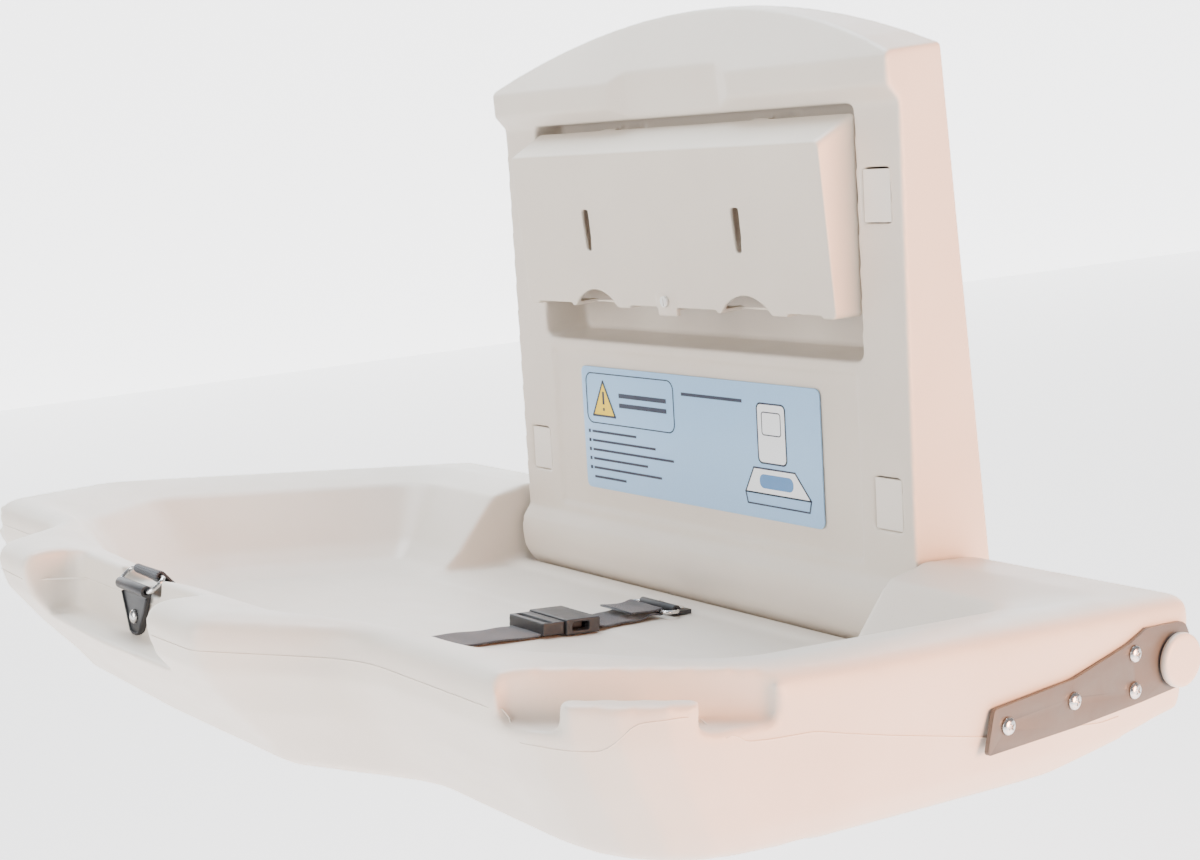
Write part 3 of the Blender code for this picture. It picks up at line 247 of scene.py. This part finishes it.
BRIGHT = metal("bright_screw_steel", (0.74, 0.73, 0.72), 0.22, (1, 1, 1), 0.08)
TAUPE = powder_coat("taupe_powder_coat", (0.066, 0.060, 0.054), 0.45)
BLUE = printed("blue_film", (0.34, 0.57, 0.86))
INK = printed("dark_print", (0.02, 0.03, 0.06))
YELLOW = printed("yellow_print", (0.93, 0.66, 0.03))
WHITE_INK = printed("white_print", (0.86, 0.90, 0.94))
MID_BLUE = printed("mid_blue_print", (0.10, 0.25, 0.50))
WEBBING = webbing_material()


# ---------------------------------------------------------------- modelling helpers
def new_piece(name, mesh, body, skin, nodes=()):
    """Links a finished mesh as a piece, with its body, material and the nodes it replaces."""
    obj = bpy.data.objects.new(name, mesh)
    PIECES.objects.link(obj)
    mesh.materials.clear()
    mesh.materials.append(skin)
    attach(obj, body)
    if nodes:
        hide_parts(*nodes)
    return obj


def mesh_of(shape, name="mesh"):
    mesh = bpy.data.meshes.new(name)
    bmesh.ops.recalc_face_normals(shape, faces=shape.faces)
    shape.to_mesh(mesh)
    shape.free()
    return mesh


def node_shape(node):
    """A copy of a CAD node's mesh as a bmesh, its split points merged, in the row frame."""
    shape = bmesh.new()
    source = frame["nodes"][node]
    shape.from_mesh(source.data)
    bmesh.ops.transform(shape, matrix=source.matrix_world, verts=shape.verts)
    bmesh.ops.remove_doubles(shape, verts=shape.verts, dist=0.02 * MM)
    return shape


def add_box(shape, low, high, matrix=Matrix.Identity(4)):
    size = [b - a for a, b in zip(low, high)]
    middle = Vector([(a + b) / 2 for a, b in zip(low, high)])
    place = matrix @ Matrix.Translation(middle) @ Matrix.Diagonal((*size, 1))
    return bmesh.ops.create_cube(shape, size=1, matrix=place)


def processed(mesh, *modifiers):
    """The mesh after a list of (type, settings) modifiers."""
    obj = bpy.data.objects.new("work", mesh)
    bpy.context.scene.collection.objects.link(obj)
    for kind, settings in modifiers:
        modifier = obj.modifiers.new(kind.lower(), kind)
        for key, value in settings.items():
            setattr(modifier, key, value)
    bpy.context.view_layer.update()
    graph = bpy.context.evaluated_depsgraph_get()
    made = bpy.data.meshes.new_from_object(obj.evaluated_get(graph))
    bpy.data.objects.remove(obj)
    made.shade_smooth()
    return made


def relaxed(mesh, voxel, steps, factor=0.5):
    """Voxel remesh, then smoothing, which gives all edges a moulded radius."""
    remesh = ("REMESH", {"mode": "VOXEL", "voxel_size": voxel, "use_smooth_shade": True})
    smooth = ("SMOOTH", {"factor": factor, "iterations": steps})
    return processed(mesh, remesh, smooth)


def bevelled(mesh, width, segments=3, angle=30):
    bevel = ("BEVEL", {"width": width, "segments": segments, "limit_method": "ANGLE",
                       "angle_limit": math.radians(angle)})
    made = processed(mesh, bevel)
    made.set_sharp_from_angle(angle=math.radians(40))
    return made


def cut_by(mesh, cutter, operation="DIFFERENCE"):
    """The mesh after an exact Boolean with another mesh."""
    tool = bpy.data.objects.new("cutter", cutter)
    bpy.context.scene.collection.objects.link(tool)
    made = processed(mesh, ("BOOLEAN", {"operation": operation, "solver": "EXACT", "object": tool}))
    bpy.data.objects.remove(tool)
    return made


def lathe(profile, matrix, sides=40):
    """A turned shape about local z from (radius, height) points, closed where the radius is zero."""
    shape = bmesh.new()
    rings = []
    for radius, height in profile:
        if radius < 1e-7:
            rings.append([shape.verts.new(matrix @ Vector((0, 0, height)))])
            continue
        angles = [math.tau * i / sides for i in range(sides)]
        rings.append([shape.verts.new(matrix @ Vector((radius * math.cos(a), radius * math.sin(a), height)))
                      for a in angles])
    for low, high in zip(rings, rings[1:]):
        for i in range(sides):
            j = (i + 1) % sides
            face = [low[i % len(low)], low[j % len(low)], high[j % len(high)], high[i % len(high)]]
            shape.faces.new([v for k, v in enumerate(face) if v not in face[:k]])
    return mesh_of(shape)


def aimed(point, direction, roll=(0, 0, 1)):
    """A matrix at a point whose z axis is the direction."""
    z = Vector(direction).normalized()
    x = Vector(roll).cross(z).normalized()
    y = z.cross(x)
    return Matrix.Translation(point) @ Matrix((x, y, z)).transposed().to_4x4()


def centre_of(node):
    low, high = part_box(node)
    return (Vector(low) + Vector(high)) / 2


def tube(name, points, radius, cyclic=False, sides=3):
    """A mesh tube along points."""
    curve = bpy.data.curves.new(name, "CURVE")
    curve.dimensions = "3D"
    curve.bevel_depth = radius
    curve.bevel_resolution = sides
    curve.use_fill_caps = not cyclic
    spline = curve.splines.new("POLY")
    spline.points.add(len(points) - 1)
    spline.use_cyclic_u = cyclic
    for point, place in zip(spline.points, points):
        point.co = (*place, 1)
    wire = bpy.data.objects.new(name, curve)
    bpy.context.scene.collection.objects.link(wire)
    bpy.context.view_layer.update()
    mesh = bpy.data.meshes.new_from_object(wire.evaluated_get(bpy.context.evaluated_depsgraph_get()))
    bpy.data.objects.remove(wire)
    shape = bmesh.new()
    shape.from_mesh(mesh)
    bmesh.ops.remove_doubles(shape, verts=shape.verts, dist=radius * 0.02)
    made = mesh_of(shape)
    made.shade_smooth()
    return made


# ---------------------------------------------------------------- moulded shells
VENT_X = 200 * MM
VENTS_V = (150 * MM, 330 * MM)
BORE_WALLS_X = (236 * MM, 399.5 * MM)     # the two walls of a wing that its hinge pin runs through
PLUG_HALF = 8 * MM
BORE_PLUG_HALF = 9 * MM


def make_tray():
    """The blow-moulded tray; its vents and bores are plugged from inside so that it remeshes as one solid."""
    shape = node_shape("tray_shell")
    for side in (-1, 1):
        for v in VENTS_V:
            x = side * VENT_X
            add_box(shape, (x - PLUG_HALF, -v - PLUG_HALF, -58.5 * MM),
                    (x + PLUG_HALF, -v + PLUG_HALF, -54.5 * MM), TRAY)
        for x in BORE_WALLS_X:
            low, high = sorted((side * (x - 2 * MM), side * (x + 1.5 * MM)))
            add_box(shape, (low, -BORE_PLUG_HALF, -BORE_PLUG_HALF),
                    (high, BORE_PLUG_HALF, BORE_PLUG_HALF), TRAY)
    mesh = relaxed(mesh_of(shape), 2.6 * MM, 7)
    return new_piece("tray_skin", mesh, "tray", CREAM, ["tray_shell"])


def make_body():
    """The wall unit's moulding, thickened behind its thin label panel so that the remesh keeps it whole."""
    shape = node_shape("wall_body")
    add_box(shape, (-0.181, 2.2 * MM, -0.066), (0.181, 6 * MM, 0.066), LABEL)
    mesh = relaxed(mesh_of(shape), 1.8 * MM, 5)
    return new_piece("body_skin", mesh, "wall_unit", CREAM, ["wall_body"])


def make_cover():
    mesh = relaxed(mesh_of(node_shape("dispenser_cover")), 1.0 * MM, 5)
    return new_piece("cover_skin", mesh, "cover", COVER, ["dispenser_cover"])


def make_small_mouldings():
    for number in range(1, 5):
        node = f"plug_cover_{number}"
        mesh = bevelled(mesh_of(node_shape(node)), 0.8 * MM)
        new_piece(f"plug_skin_{number}", mesh, "wall_unit", PLUG, [node])
    mesh = bevelled(mesh_of(node_shape("dispenser_latch")), 0.35 * MM)
    new_piece("latch_skin", mesh, "latch", ACETAL, ["dispenser_latch"])


# The mould's parting line, as (v, h) heights along the outer wall from a wing's rear to the nose
PARTING = [(0.010, -0.026), (0.06, -0.030), (0.16, -0.022), (0.24, -0.008), (0.292, 0.002), (0.318, 0.002),
           (0.336, 0.003), (0.350, 0.017), (0.372, 0.019), (0.392, 0.017), (0.402, 0.003), (0.418, 0.002)]
PARTING_NOSE = 0.016


def parting_height(v):
    for (v0, h0), (v1, h1) in zip(PARTING, PARTING[1:]):
        if v0 <= v < v1:
            return h0 + (h1 - h0) * (v - v0) / (v1 - v0)
    return PARTING[0][1] if v < PARTING[0][0] else PARTING_NOSE


def make_parting_line(bvh):
    """A fine raised seam on the tray's outer wall, found by looking in from all round."""
    for side, name in ((-1, "left"), (1, "right")):
        points = []
        for i in range(261):
            angle = math.radians(-16 + 106 * i / 260)
            aim = Vector((side * math.cos(angle), -math.sin(angle), 0))
            hub = Vector((0, -0.16, 0))
            height = 0.0
            for _ in range(3):
                start = hub + aim * 0.9
                start.z = height
                hit = bvh.ray_cast(TRAY @ start, TRAY.to_3x3() @ -aim)[0]
                if hit is None:
                    break
                local = TRAY.inverted() @ hit
                height = parting_height(-local.y)
            if hit is not None and -local.y > PARTING[0][0]:
                points.append(TRAY @ (local + aim * 0.05 * MM))
        mesh = tube("seam", smooth_points(points), 0.45 * MM)
        new_piece(f"parting_line_{name}", mesh, "tray", CREAM)


def smooth_points(points):
    """Each point averaged with its neighbours, the ends kept."""
    middle = [(a + b * 2 + c) / 4 for a, b, c in zip(points, points[1:], points[2:])]
    return [points[0]] + middle + [points[-1]]


# ---------------------------------------------------------------- hinges
SCREW_PROFILE = [(4.9, 0), (4.95, 0.3), (4.6, 1.1), (3.8, 1.8), (2.6, 2.25), (1.2, 2.42), (0, 2.45)]


def cross_screw(name, top, outwards, turn, body, node, radius=1.0):
    """A dome-headed screw with a cross recess; top is the crown of its head."""
    place = aimed(top, outwards) @ Matrix.Rotation(turn, 4, "Z") @ Matrix.Translation((0, 0, -2.45 * MM))
    head = lathe([(0, -0.3 * MM), (4.9 * MM * radius, -0.3 * MM)]
                 + [(r * MM * radius, h * MM) for r, h in SCREW_PROFILE], place)
    shape = bmesh.new()
    for size in ((2.3, 0.5), (0.5, 2.3)):
        add_box(shape, (-size[0] * MM, -size[1] * MM, 1.2 * MM), (size[0] * MM, size[1] * MM, 4 * MM), place)
    cutter = cut_by(lathe([(0, 0.6 * MM), (0.9 * MM, 1.3 * MM), (1.1 * MM, 4 * MM), (0, 4 * MM)], place, 12),
                    mesh_of(shape), "UNION")
    mesh = bevelled(cut_by(head, cutter), 0.12 * MM, 2)
    new_piece(name, mesh, body, BRIGHT, [node])


def make_hinges():
    for side, name in ((-1, "left"), (1, "right")):
        slant = Matrix.Rotation(side * WING_SLANT, 4, "Z") @ Vector((side, 0, 0))
        out = TRAY.to_3x3() @ slant
        mesh = bevelled(mesh_of(node_shape(f"hinge_plate_{name}")), 0.7 * MM)
        new_piece(f"plate_skin_{name}", mesh, "tray", TAUPE, [f"hinge_plate_{name}"])
        for number, turn in enumerate((0.4, 1.1, 0.1, 0.8), 1):
            node = f"plate_screw_{number}_{name}"
            top = centre_of(node) + out * 2.7 * MM
            cross_screw(f"screw_skin_{number}_{name}", top, out, turn, "tray", node)
        across = Vector((side, 0, 0))
        cap_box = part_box(f"hinge_cap_{name}")
        half = (cap_box[1][0] - cap_box[0][0]) / 2
        place = aimed(centre_of(f"hinge_cap_{name}") - across * half, across)
        profile = [(0, 1.2), (15.2, 1.2), (15.2, 0.1), (15.9, 0.1), (16.0, 2.2), (15.6, 3.6), (14.4, 4.3),
                   (12, 4.45), (6, 4.5), (0, 4.5)]
        cap = lathe([(r * MM, h * MM) for r, h in profile], place, 72)
        cap.shade_smooth()
        new_piece(f"cap_skin_{name}", cap, "tray", CAP, [f"hinge_cap_{name}"])


# ---------------------------------------------------------------- label
PRINT_OUT = -0.75 * MM


def flat_shape(outlines, depth=0.12 * MM, lift=0.0):
    """Thin raised print from closed outlines of (x, up) points in millimetres on the label."""
    shape = bmesh.new()
    for outline in outlines:
        rows = []
        for y in (PRINT_OUT - lift, PRINT_OUT - lift - depth):
            rows.append([shape.verts.new(LABEL @ Vector((x * MM, y, u * MM))) for x, u in outline])
        count = len(outline)
        for i in range(count):
            j = (i + 1) % count
            shape.faces.new((rows[0][i], rows[0][j], rows[1][j], rows[1][i]))
        for row in rows:
            shape.faces.new(row)
    return mesh_of(shape)


def bar(x0, x1, u0, u1):
    return [(x0, u0), (x1, u0), (x1, u1), (x0, u1)]


def round_box(x0, x1, u0, u1, radius, steps=6):
    made = []
    for cx, cu, start in ((x1 - radius, u0 + radius, -90), (x1 - radius, u1 - radius, 0),
                          (x0 + radius, u1 - radius, 90), (x0 + radius, u0 + radius, 180)):
        for i in range(steps + 1):
            angle = math.radians(start + 90 * i / steps)
            made.append((cx + radius * math.cos(angle), cu + radius * math.sin(angle)))
    return made


def frame_line(outline, width):
    """Bars along a closed outline, one for each of its sides."""
    made = []
    count = len(outline)
    for i in range(count):
        a, b = Vector(outline[i]), Vector(outline[(i + 1) % count])
        along = (b - a).normalized()
        side = Vector((-along.y, along.x)) * width / 2
        a, b = a - along * width * 0.4, b + along * width * 0.4
        made.append([tuple(p) for p in (a + side, a - side, b - side, b + side)])
    return made


def make_label():
    """A blue film with generic shapes: a warning triangle, bars in place of text and a station symbol."""
    mesh = bevelled(mesh_of(node_shape("label_plate")), 0.25 * MM, 2)
    new_piece("label_film", mesh, "wall_unit", BLUE, ["label_plate"])
    ink = frame_line(round_box(-134, -22, 4, 43, 7), 0.9)
    ink += frame_line([(-126, 10), (-97, 10), (-111.5, 37)], 1.6)
    ink += [bar(-112.8, -110.2, 19, 29), bar(-112.7, -110.3, 14, 16.4)]
    ink += [bar(-91, -31, 18, 21.4), bar(-91, -31, 25.6, 29)]
    for row, long in enumerate((58, 82, 104, 71, 88, 42)):
        up = -3 - row * 7.2
        ink += [bar(-134, -131.4, up - 1.3, up + 1.3)] if row < 5 else []
        ink += [bar(-129, -129 + long, up - 0.9, up + 0.9)]
    ink += [bar(-12, 58, 33, 35.4)]
    new_piece("label_print", flat_shape(ink, 0.12 * MM), "wall_unit", INK)
    sign = flat_shape([[(-125, 10.5), (-98, 10.5), (-111.5, 36)]], 0.08 * MM)
    new_piece("label_sign", sign, "wall_unit", YELLOW)
    panel = round_box(74, 104, -8, 34, 4)
    tray = [(68, -12), (112, -12), (128, -30), (58, -30)]
    white = flat_shape([panel, tray], 0.06 * MM)
    new_piece("label_symbol_fill", white, "wall_unit", WHITE_INK)
    front = [(58, -30), (128, -30), (126, -38), (60, -38)]
    lines = [side for outline in (panel, tray, front) for side in frame_line(outline, 1.2)]
    lines += frame_line(round_box(79, 99, 12, 28, 2, 3), 0.8)
    new_piece("label_symbol_lines", flat_shape(lines, 0.12 * MM), "wall_unit", INK)
    cushion = round_box(74, 110, -26, -16, 4.5)
    new_piece("label_symbol_pad", flat_shape([cushion], 0.1 * MM), "wall_unit", MID_BLUE)


# ---------------------------------------------------------------- safety belt
RING_WIRE = 1.5 * MM
RING_REACH = 13 * MM
BELT_HALF = 19 * MM
BELT_THICK = 1.5 * MM


def eye_place(node):
    """The (v, h) place of a ring's hinge in the tray's axes."""
    joint = JOINTS[node + "_swing"]
    local = TRAY.inverted() @ Vector(joint["pos_m"])
    return Vector((-local.y, local.z))


FRONT_EYE = eye_place("front_ring")
REAR_EYE = eye_place("rear_ring")
FRONT_LEAN = math.pi / 2 + math.radians(50)
FRONT_BAR = FRONT_EYE + RING_REACH * Vector((math.cos(FRONT_LEAN), math.sin(FRONT_LEAN)))
REAR_BAR = REAR_EYE + Vector((RING_REACH, 0))


def smooth_path(points, step):
    """Points every step along a smooth curve through the given ones."""
    points = [Vector(p) for p in points]
    ends = [points[0] * 2 - points[1]] + points + [points[-1] * 2 - points[-2]]
    made = []
    for a, b, c, d in zip(ends, ends[1:], ends[2:], ends[3:]):
        count = max(1, round((c - b).length / step))
        for i in range(count):
            t = i / count
            made.append(0.5 * ((2 * b) + (c - a) * t + (2 * a - 5 * b + 4 * c - d) * t * t
                               + (3 * b - a - 3 * c + d) * t ** 3))
    return made + [points[-1]]


def loop_round(bar_at, towards, back):
    """A belt's loop round a ring's bar: up over it, round its far side and back under for a stitched tail."""
    along = Vector(towards).normalized()
    up = Vector((-along.y, along.x))
    radius = RING_WIRE + 0.25 * MM + BELT_THICK / 2
    made = [bar_at - along * 9 * MM + up * (BELT_THICK * 0.75)]
    for i in range(9):
        angle = math.pi / 2 - math.pi * i / 8
        made.append(bar_at + radius * (along * math.cos(angle) + up * math.sin(angle)))
    made.append(bar_at - along * 9 * MM - up * (BELT_THICK * 0.6))
    made.append(bar_at - along * back - up * (BELT_THICK * 0.6))
    return made


def webbing(name, path, node, sway):
    """Webbing along (v, h) points in the tray's axes, edges rounded, with a weave attribute in metres."""
    shape = bmesh.new()
    layer = shape.verts.layers.float_vector.new("weave")
    half, thick = BELT_HALF, BELT_THICK / 2
    across = [-1, -0.985, -0.93, -0.6, -0.2, 0.2, 0.6, 0.93, 0.985, 1]
    rise = [0.35, 0.85, 1, 0.92, 0.97, 0.97, 0.92, 1, 0.85, 0.35]
    section = [(a * half, r * thick) for a, r in zip(across, rise)]
    section += [(a * half, -r * thick) for a, r in zip(reversed(across), reversed(rise))]
    rows = []
    run = 0.0
    for i, here in enumerate(path):
        before, after = path[max(i - 1, 0)], path[min(i + 1, len(path) - 1)]
        along = (after - before).normalized()
        up = Vector((-along.y, along.x))
        run += (here - path[i - 1]).length if i else 0
        shift = sway * math.sin(run * 42)
        row = []
        for x, lift in section:
            curl = 0.35 * MM * math.sin(run * 160 + x * 60)
            v, h = here + up * (lift + curl)
            vert = shape.verts.new(TRAY @ Vector((x + shift, -v, h)))
            vert[layer] = (x, run, lift)
            row.append(vert)
        rows.append(row)
    count = len(section)
    for low_row, high_row in zip(rows, rows[1:]):
        for i in range(count):
            j = (i + 1) % count
            shape.faces.new((low_row[i], low_row[j], high_row[j], high_row[i]))
    shape.faces.new(rows[0])
    shape.faces.new(rows[-1])
    mesh = mesh_of(shape)
    mesh.shade_smooth()
    mesh.materials.append(WEBBING)
    obj = bpy.data.objects.new(name, mesh)
    PIECES.objects.link(obj)
    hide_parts(node)
    return obj


def tray_point(v, h, x=0.0):
    return TRAY @ Vector((x, -v, h))


def on_tray(bvh, v, clear, x=0.0):
    """The tray's surface height at a place, in its own axes, plus a clearance."""
    start = tray_point(v, 0.06, x)
    down = TRAY.to_3x3() @ Vector((0, 0, -1))
    hit = bvh.ray_cast(start, down)
    return (TRAY.inverted() @ hit[0]).z + clear


def surface_of(obj):
    shape = bmesh.new()
    shape.from_mesh(obj.data)
    bvh = BVHTree.FromBMesh(shape)
    shape.free()
    return bvh


def make_belt(bvh):
    local = [TRAY.inverted() @ centre_of(node) for node in ("buckle_socket", "buckle_plug")]
    socket_v, plug_v = -local[0].y - 14 * MM, -local[1].y + 9 * MM
    middle = [local[0].z, local[1].z]
    ride = 1.0 * MM + BELT_THICK / 2

    rear = [(socket_v - 1 * MM, middle[0] - 1 * MM)]
    rear += [(socket_v - 10 * MM, on_tray(bvh, socket_v - 10 * MM, ride + 0.8 * MM))]
    rear += [(v, on_tray(bvh, v, ride + 0.4 * MM)) for v in (REAR_BAR.x + 30 * MM, REAR_BAR.x + 18 * MM)]
    rear = [Vector(p) for p in rear]
    rear += loop_round(REAR_BAR, (-1, 0), 26 * MM)
    strap = webbing("belt_rear", smooth_path(rear, 1.6 * MM), "strap_rear", 0.8 * MM)
    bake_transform(strap)

    front = [Vector((plug_v + 1 * MM, middle[1] - 1 * MM))]
    start = plug_v + 9 * MM
    count = 20
    last = FRONT_BAR.x - 15 * MM
    for i in range(count + 1):
        v = start + (last - start) * i / count
        front.append(Vector((v, on_tray(bvh, v, ride + 0.5 * MM))))
    towards = FRONT_BAR - front[-1]
    front += loop_round(FRONT_BAR, towards, 24 * MM)
    strap = webbing("belt_front", smooth_path(front, 1.8 * MM), "strap_front", 1.2 * MM)
    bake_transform(strap)


def make_rings():
    for node, body in (("front_ring", "front_ring_body"), ("rear_ring", "rear_ring_body")):
        mesh = processed(mesh_of(node_shape(node)), ("SUBSURF", {"levels": 1, "render_levels": 1}))
        new_piece(node + "_wire", mesh, body, BRIGHT, [node])


def make_anchors():
    """The black anchors: the front one with a raised rim round its tapered plate, the rear one plain."""
    mesh = bevelled(mesh_of(node_shape("rear_anchor")), 0.5 * MM)
    new_piece("rear_anchor_skin", mesh, "tray", NYLON, ["rear_anchor"])
    mesh = bevelled(mesh_of(node_shape("front_anchor")), 0.5 * MM)
    plate = new_piece("front_anchor_skin", mesh, "tray", NYLON, ["front_anchor"])
    face_y = -(FRONT_EYE.x - 4 * MM + 0.4 * MM + 3 * MM)
    rim = [(-19, 19), (-6.3, -3.2), (-2.5, -4.6), (2.5, -4.6), (6.3, -3.2), (19, 19)]
    points = [TRAY @ Vector((x * MM, face_y, h * MM)) for x, h in rim]
    new_piece("front_anchor_rim", tube("rim", points, 1.0 * MM), "tray", NYLON)
    low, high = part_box("anchor_screw")
    outwards = TRAY.to_3x3() @ Vector((0, -1, 0))
    top = (Vector(low) + Vector(high)) / 2 + outwards * 1.3 * MM
    cross_screw("anchor_screw_skin", top, outwards, 0.5, "tray", "anchor_screw", 0.9)
    up = TRAY.to_3x3() @ Vector((0, 0, 1))
    for name in ("left", "right"):
        place = aimed(centre_of(f"anchor_rivet_{name}") - up * 0.7 * MM, up, (0, 1, 0))
        profile = [(0, 0), (4, 0), (3.9, 0.5), (3.1, 1.1), (1.8, 1.45), (0.9, 1.1), (0, 1.0)]
        rivet = lathe([(r * MM, h * MM) for r, h in profile], place)
        rivet.shade_smooth()
        new_piece(f"anchor_rivet_skin_{name}", rivet, "tray", BRIGHT, [f"anchor_rivet_{name}"])


def make_buckle():
    """A side-release buckle: rounded socket with windows and grip ridges, and its plug."""
    for node in ("buckle_socket", "buckle_plug"):
        centre = TRAY.inverted() @ centre_of(node)
        mesh = mesh_of(node_shape(node))
        tool = bmesh.new()
        if node == "buckle_socket":
            for side in (-1, 1):
                low_x, high_x = sorted((side * 19.5 * MM, side * 26 * MM))
                add_box(tool, (low_x, centre.y - 9 * MM, centre.z - 2.6 * MM),
                        (high_x, centre.y + 5 * MM, centre.z + 3.2 * MM), TRAY)
            top = centre.z + 5.5 * MM
            for i in range(4):
                y = centre.y + (7 + i * 2.2) * MM
                add_box(tool, (-13 * MM, y - 0.5 * MM, top - 0.7 * MM),
                        (13 * MM, y + 0.5 * MM, top + 2 * MM), TRAY)
        else:
            y = centre.y - 10 * MM
            top = centre.z + 4.5 * MM
            add_box(tool, (-20 * MM, y - 3.2 * MM, centre.z + 1.2 * MM),
                    (20 * MM, y + 1.6 * MM, top + 3 * MM), TRAY)
        mesh = cut_by(mesh, mesh_of(tool))
        mesh = relaxed(mesh, 0.7 * MM, 5)
        new_piece(node + "_skin", mesh, "tray", NYLON, [node])


# ---------------------------------------------------------------- carried CAD nodes
CARRIED = {"back_frame": ZINC, "wall_bolt": BRIGHT, "bolt_washer": ZINC, "cover_pin": ZINC,
           "hinge_pin": BRIGHT, "hinge_bush": ACETAL, "damper_housing": NYLON, "damper_rotor": ACETAL,
           "stop_arm": ZINC, "stop_block": RUBBER}


def finish_carried_nodes():
    for name, obj in frame["nodes"].items():
        if obj.hide_render:
            continue
        skin = next(skin for start, skin in CARRIED.items() if name.startswith(start))
        for place in obj.material_slots:
            place.material = skin


# ---------------------------------------------------------------- studio
CAMERA_AT = (1.12127, -0.89667, 0.21524)
CAMERA_AZIMUTH = 0.9781
CAMERA_RISE = 0.1934
CAMERA_ROLL = -0.1329
CAMERA_LENS = 58.68
FLOOR_Z = -1.0
REACH = 40               # half the floor's side, so that its edge never shows
PAPER_AWAY = 7           # the lit paper wall's distance behind the object, as the photo's camera sees it
PAPER_HALF = 9
PAPER_TOP = 7
SKY_STRENGTH = 0.35
LAMPS_AIM = (0, -0.2, -0.05)
LAMPS = (                # name, place in metres, width and height, watts, colour
    ("warm_side", (2.0, 0.35, 0.0), (0.9, 0.9), 110, (1.0, 0.46, 0.25)),
    ("cool_top", (-0.5, 0.1, 1.8), (1.2, 1.2), 75, (0.80, 0.91, 1.0)),
    ("soft_front", (0.1, -2.4, 0.7), (1.4, 1.4), 60, (1.0, 0.96, 0.92)),
)


def make_camera():
    back = Vector((math.sin(CAMERA_AZIMUTH) * math.cos(CAMERA_RISE),
                   -math.cos(CAMERA_AZIMUTH) * math.cos(CAMERA_RISE), math.sin(CAMERA_RISE)))
    right = (-back).cross(Vector((0, 0, 1))).normalized()
    up = right.cross(-back)
    cos, sin = math.cos(CAMERA_ROLL), math.sin(CAMERA_ROLL)
    axes = Matrix((cos * right + sin * up, cos * up - sin * right, back)).transposed().to_4x4()
    lens = bpy.data.cameras.new("camera")
    lens.lens = CAMERA_LENS
    lens.clip_start = 0.05
    camera = bpy.data.objects.new("camera", lens)
    bpy.context.scene.collection.objects.link(camera)
    camera.matrix_world = Matrix.Translation(CAMERA_AT) @ axes
    bpy.context.scene.camera = camera


def lamp(name, place, target, size, power, colour):
    light = bpy.data.lights.new(name, "AREA")
    light.shape = "RECTANGLE"
    light.size, light.size_y = size
    light.energy = power
    light.color = colour
    obj = bpy.data.objects.new(name, light)
    bpy.context.scene.collection.objects.link(obj)
    direction = Vector(place) - Vector(target)
    obj.matrix_world = aimed(Vector(place), direction)


def glowing(name, colour, strength):
    """A pale matt surface that gives off a little light of its own, as a lit paper sweep does."""
    paper = Nodes(name)
    tone = paper.mix(paper.spread(paper.noise(0.4, 2), 0.3, 0.7), colour, tuple(c * 0.99 for c in colour))
    paper.shader.inputs["Emission Color"].default_value = (*colour, 1)
    paper.shader.inputs["Emission Strength"].default_value = strength
    paper.shader.inputs["Roughness"].default_value = 0.9
    return paper.finish(tone)


def make_studio():
    """A pale floor, a lit paper wall far behind the object, and three soft lamps."""
    shape = bmesh.new()
    corners = [(-REACH, -REACH), (REACH, -REACH), (REACH, REACH), (-REACH, REACH)]
    shape.faces.new([shape.verts.new((x, y, FLOOR_Z)) for x, y in corners])
    mesh = mesh_of(shape)
    mesh.materials.append(glowing("pale_floor", (0.94, 0.945, 0.95), 1.7))
    floor = bpy.data.objects.new("floor", mesh)
    bpy.context.scene.collection.objects.link(floor)
    shape = bmesh.new()
    away = Vector((-math.sin(CAMERA_AZIMUTH), math.cos(CAMERA_AZIMUTH), 0))
    across = Vector((away.y, -away.x, 0))
    for side, height in ((-1, FLOOR_Z), (1, FLOOR_Z), (1, PAPER_TOP), (-1, PAPER_TOP)):
        shape.verts.new(away * PAPER_AWAY + across * side * PAPER_HALF + Vector((0, 0, height)))
    shape.faces.new(shape.verts)
    mesh = mesh_of(shape)
    mesh.materials.append(glowing("paper_wall", (0.95, 0.96, 0.97), 2.7))
    wall = bpy.data.objects.new("paper_wall", mesh)
    bpy.context.scene.collection.objects.link(wall)
    world = bpy.data.worlds.new("studio")
    bpy.context.scene.world = world
    world.use_nodes = True
    sky = world.node_tree.nodes["Background"]
    sky.inputs["Color"].default_value = (0.93, 0.96, 1.0, 1)
    sky.inputs["Strength"].default_value = SKY_STRENGTH
    for name, place, size, power, colour in LAMPS:
        lamp(name, place, LAMPS_AIM, size, power, colour)


# ---------------------------------------------------------------- assembly
make_camera()
tray_skin = make_tray()
make_body()
make_cover()
make_small_mouldings()
make_hinges()
make_label()
tray_surface = surface_of(tray_skin)
make_parting_line(tray_surface)
make_belt(tray_surface)
make_rings()
make_anchors()
make_buckle()
finish_carried_nodes()
make_studio()
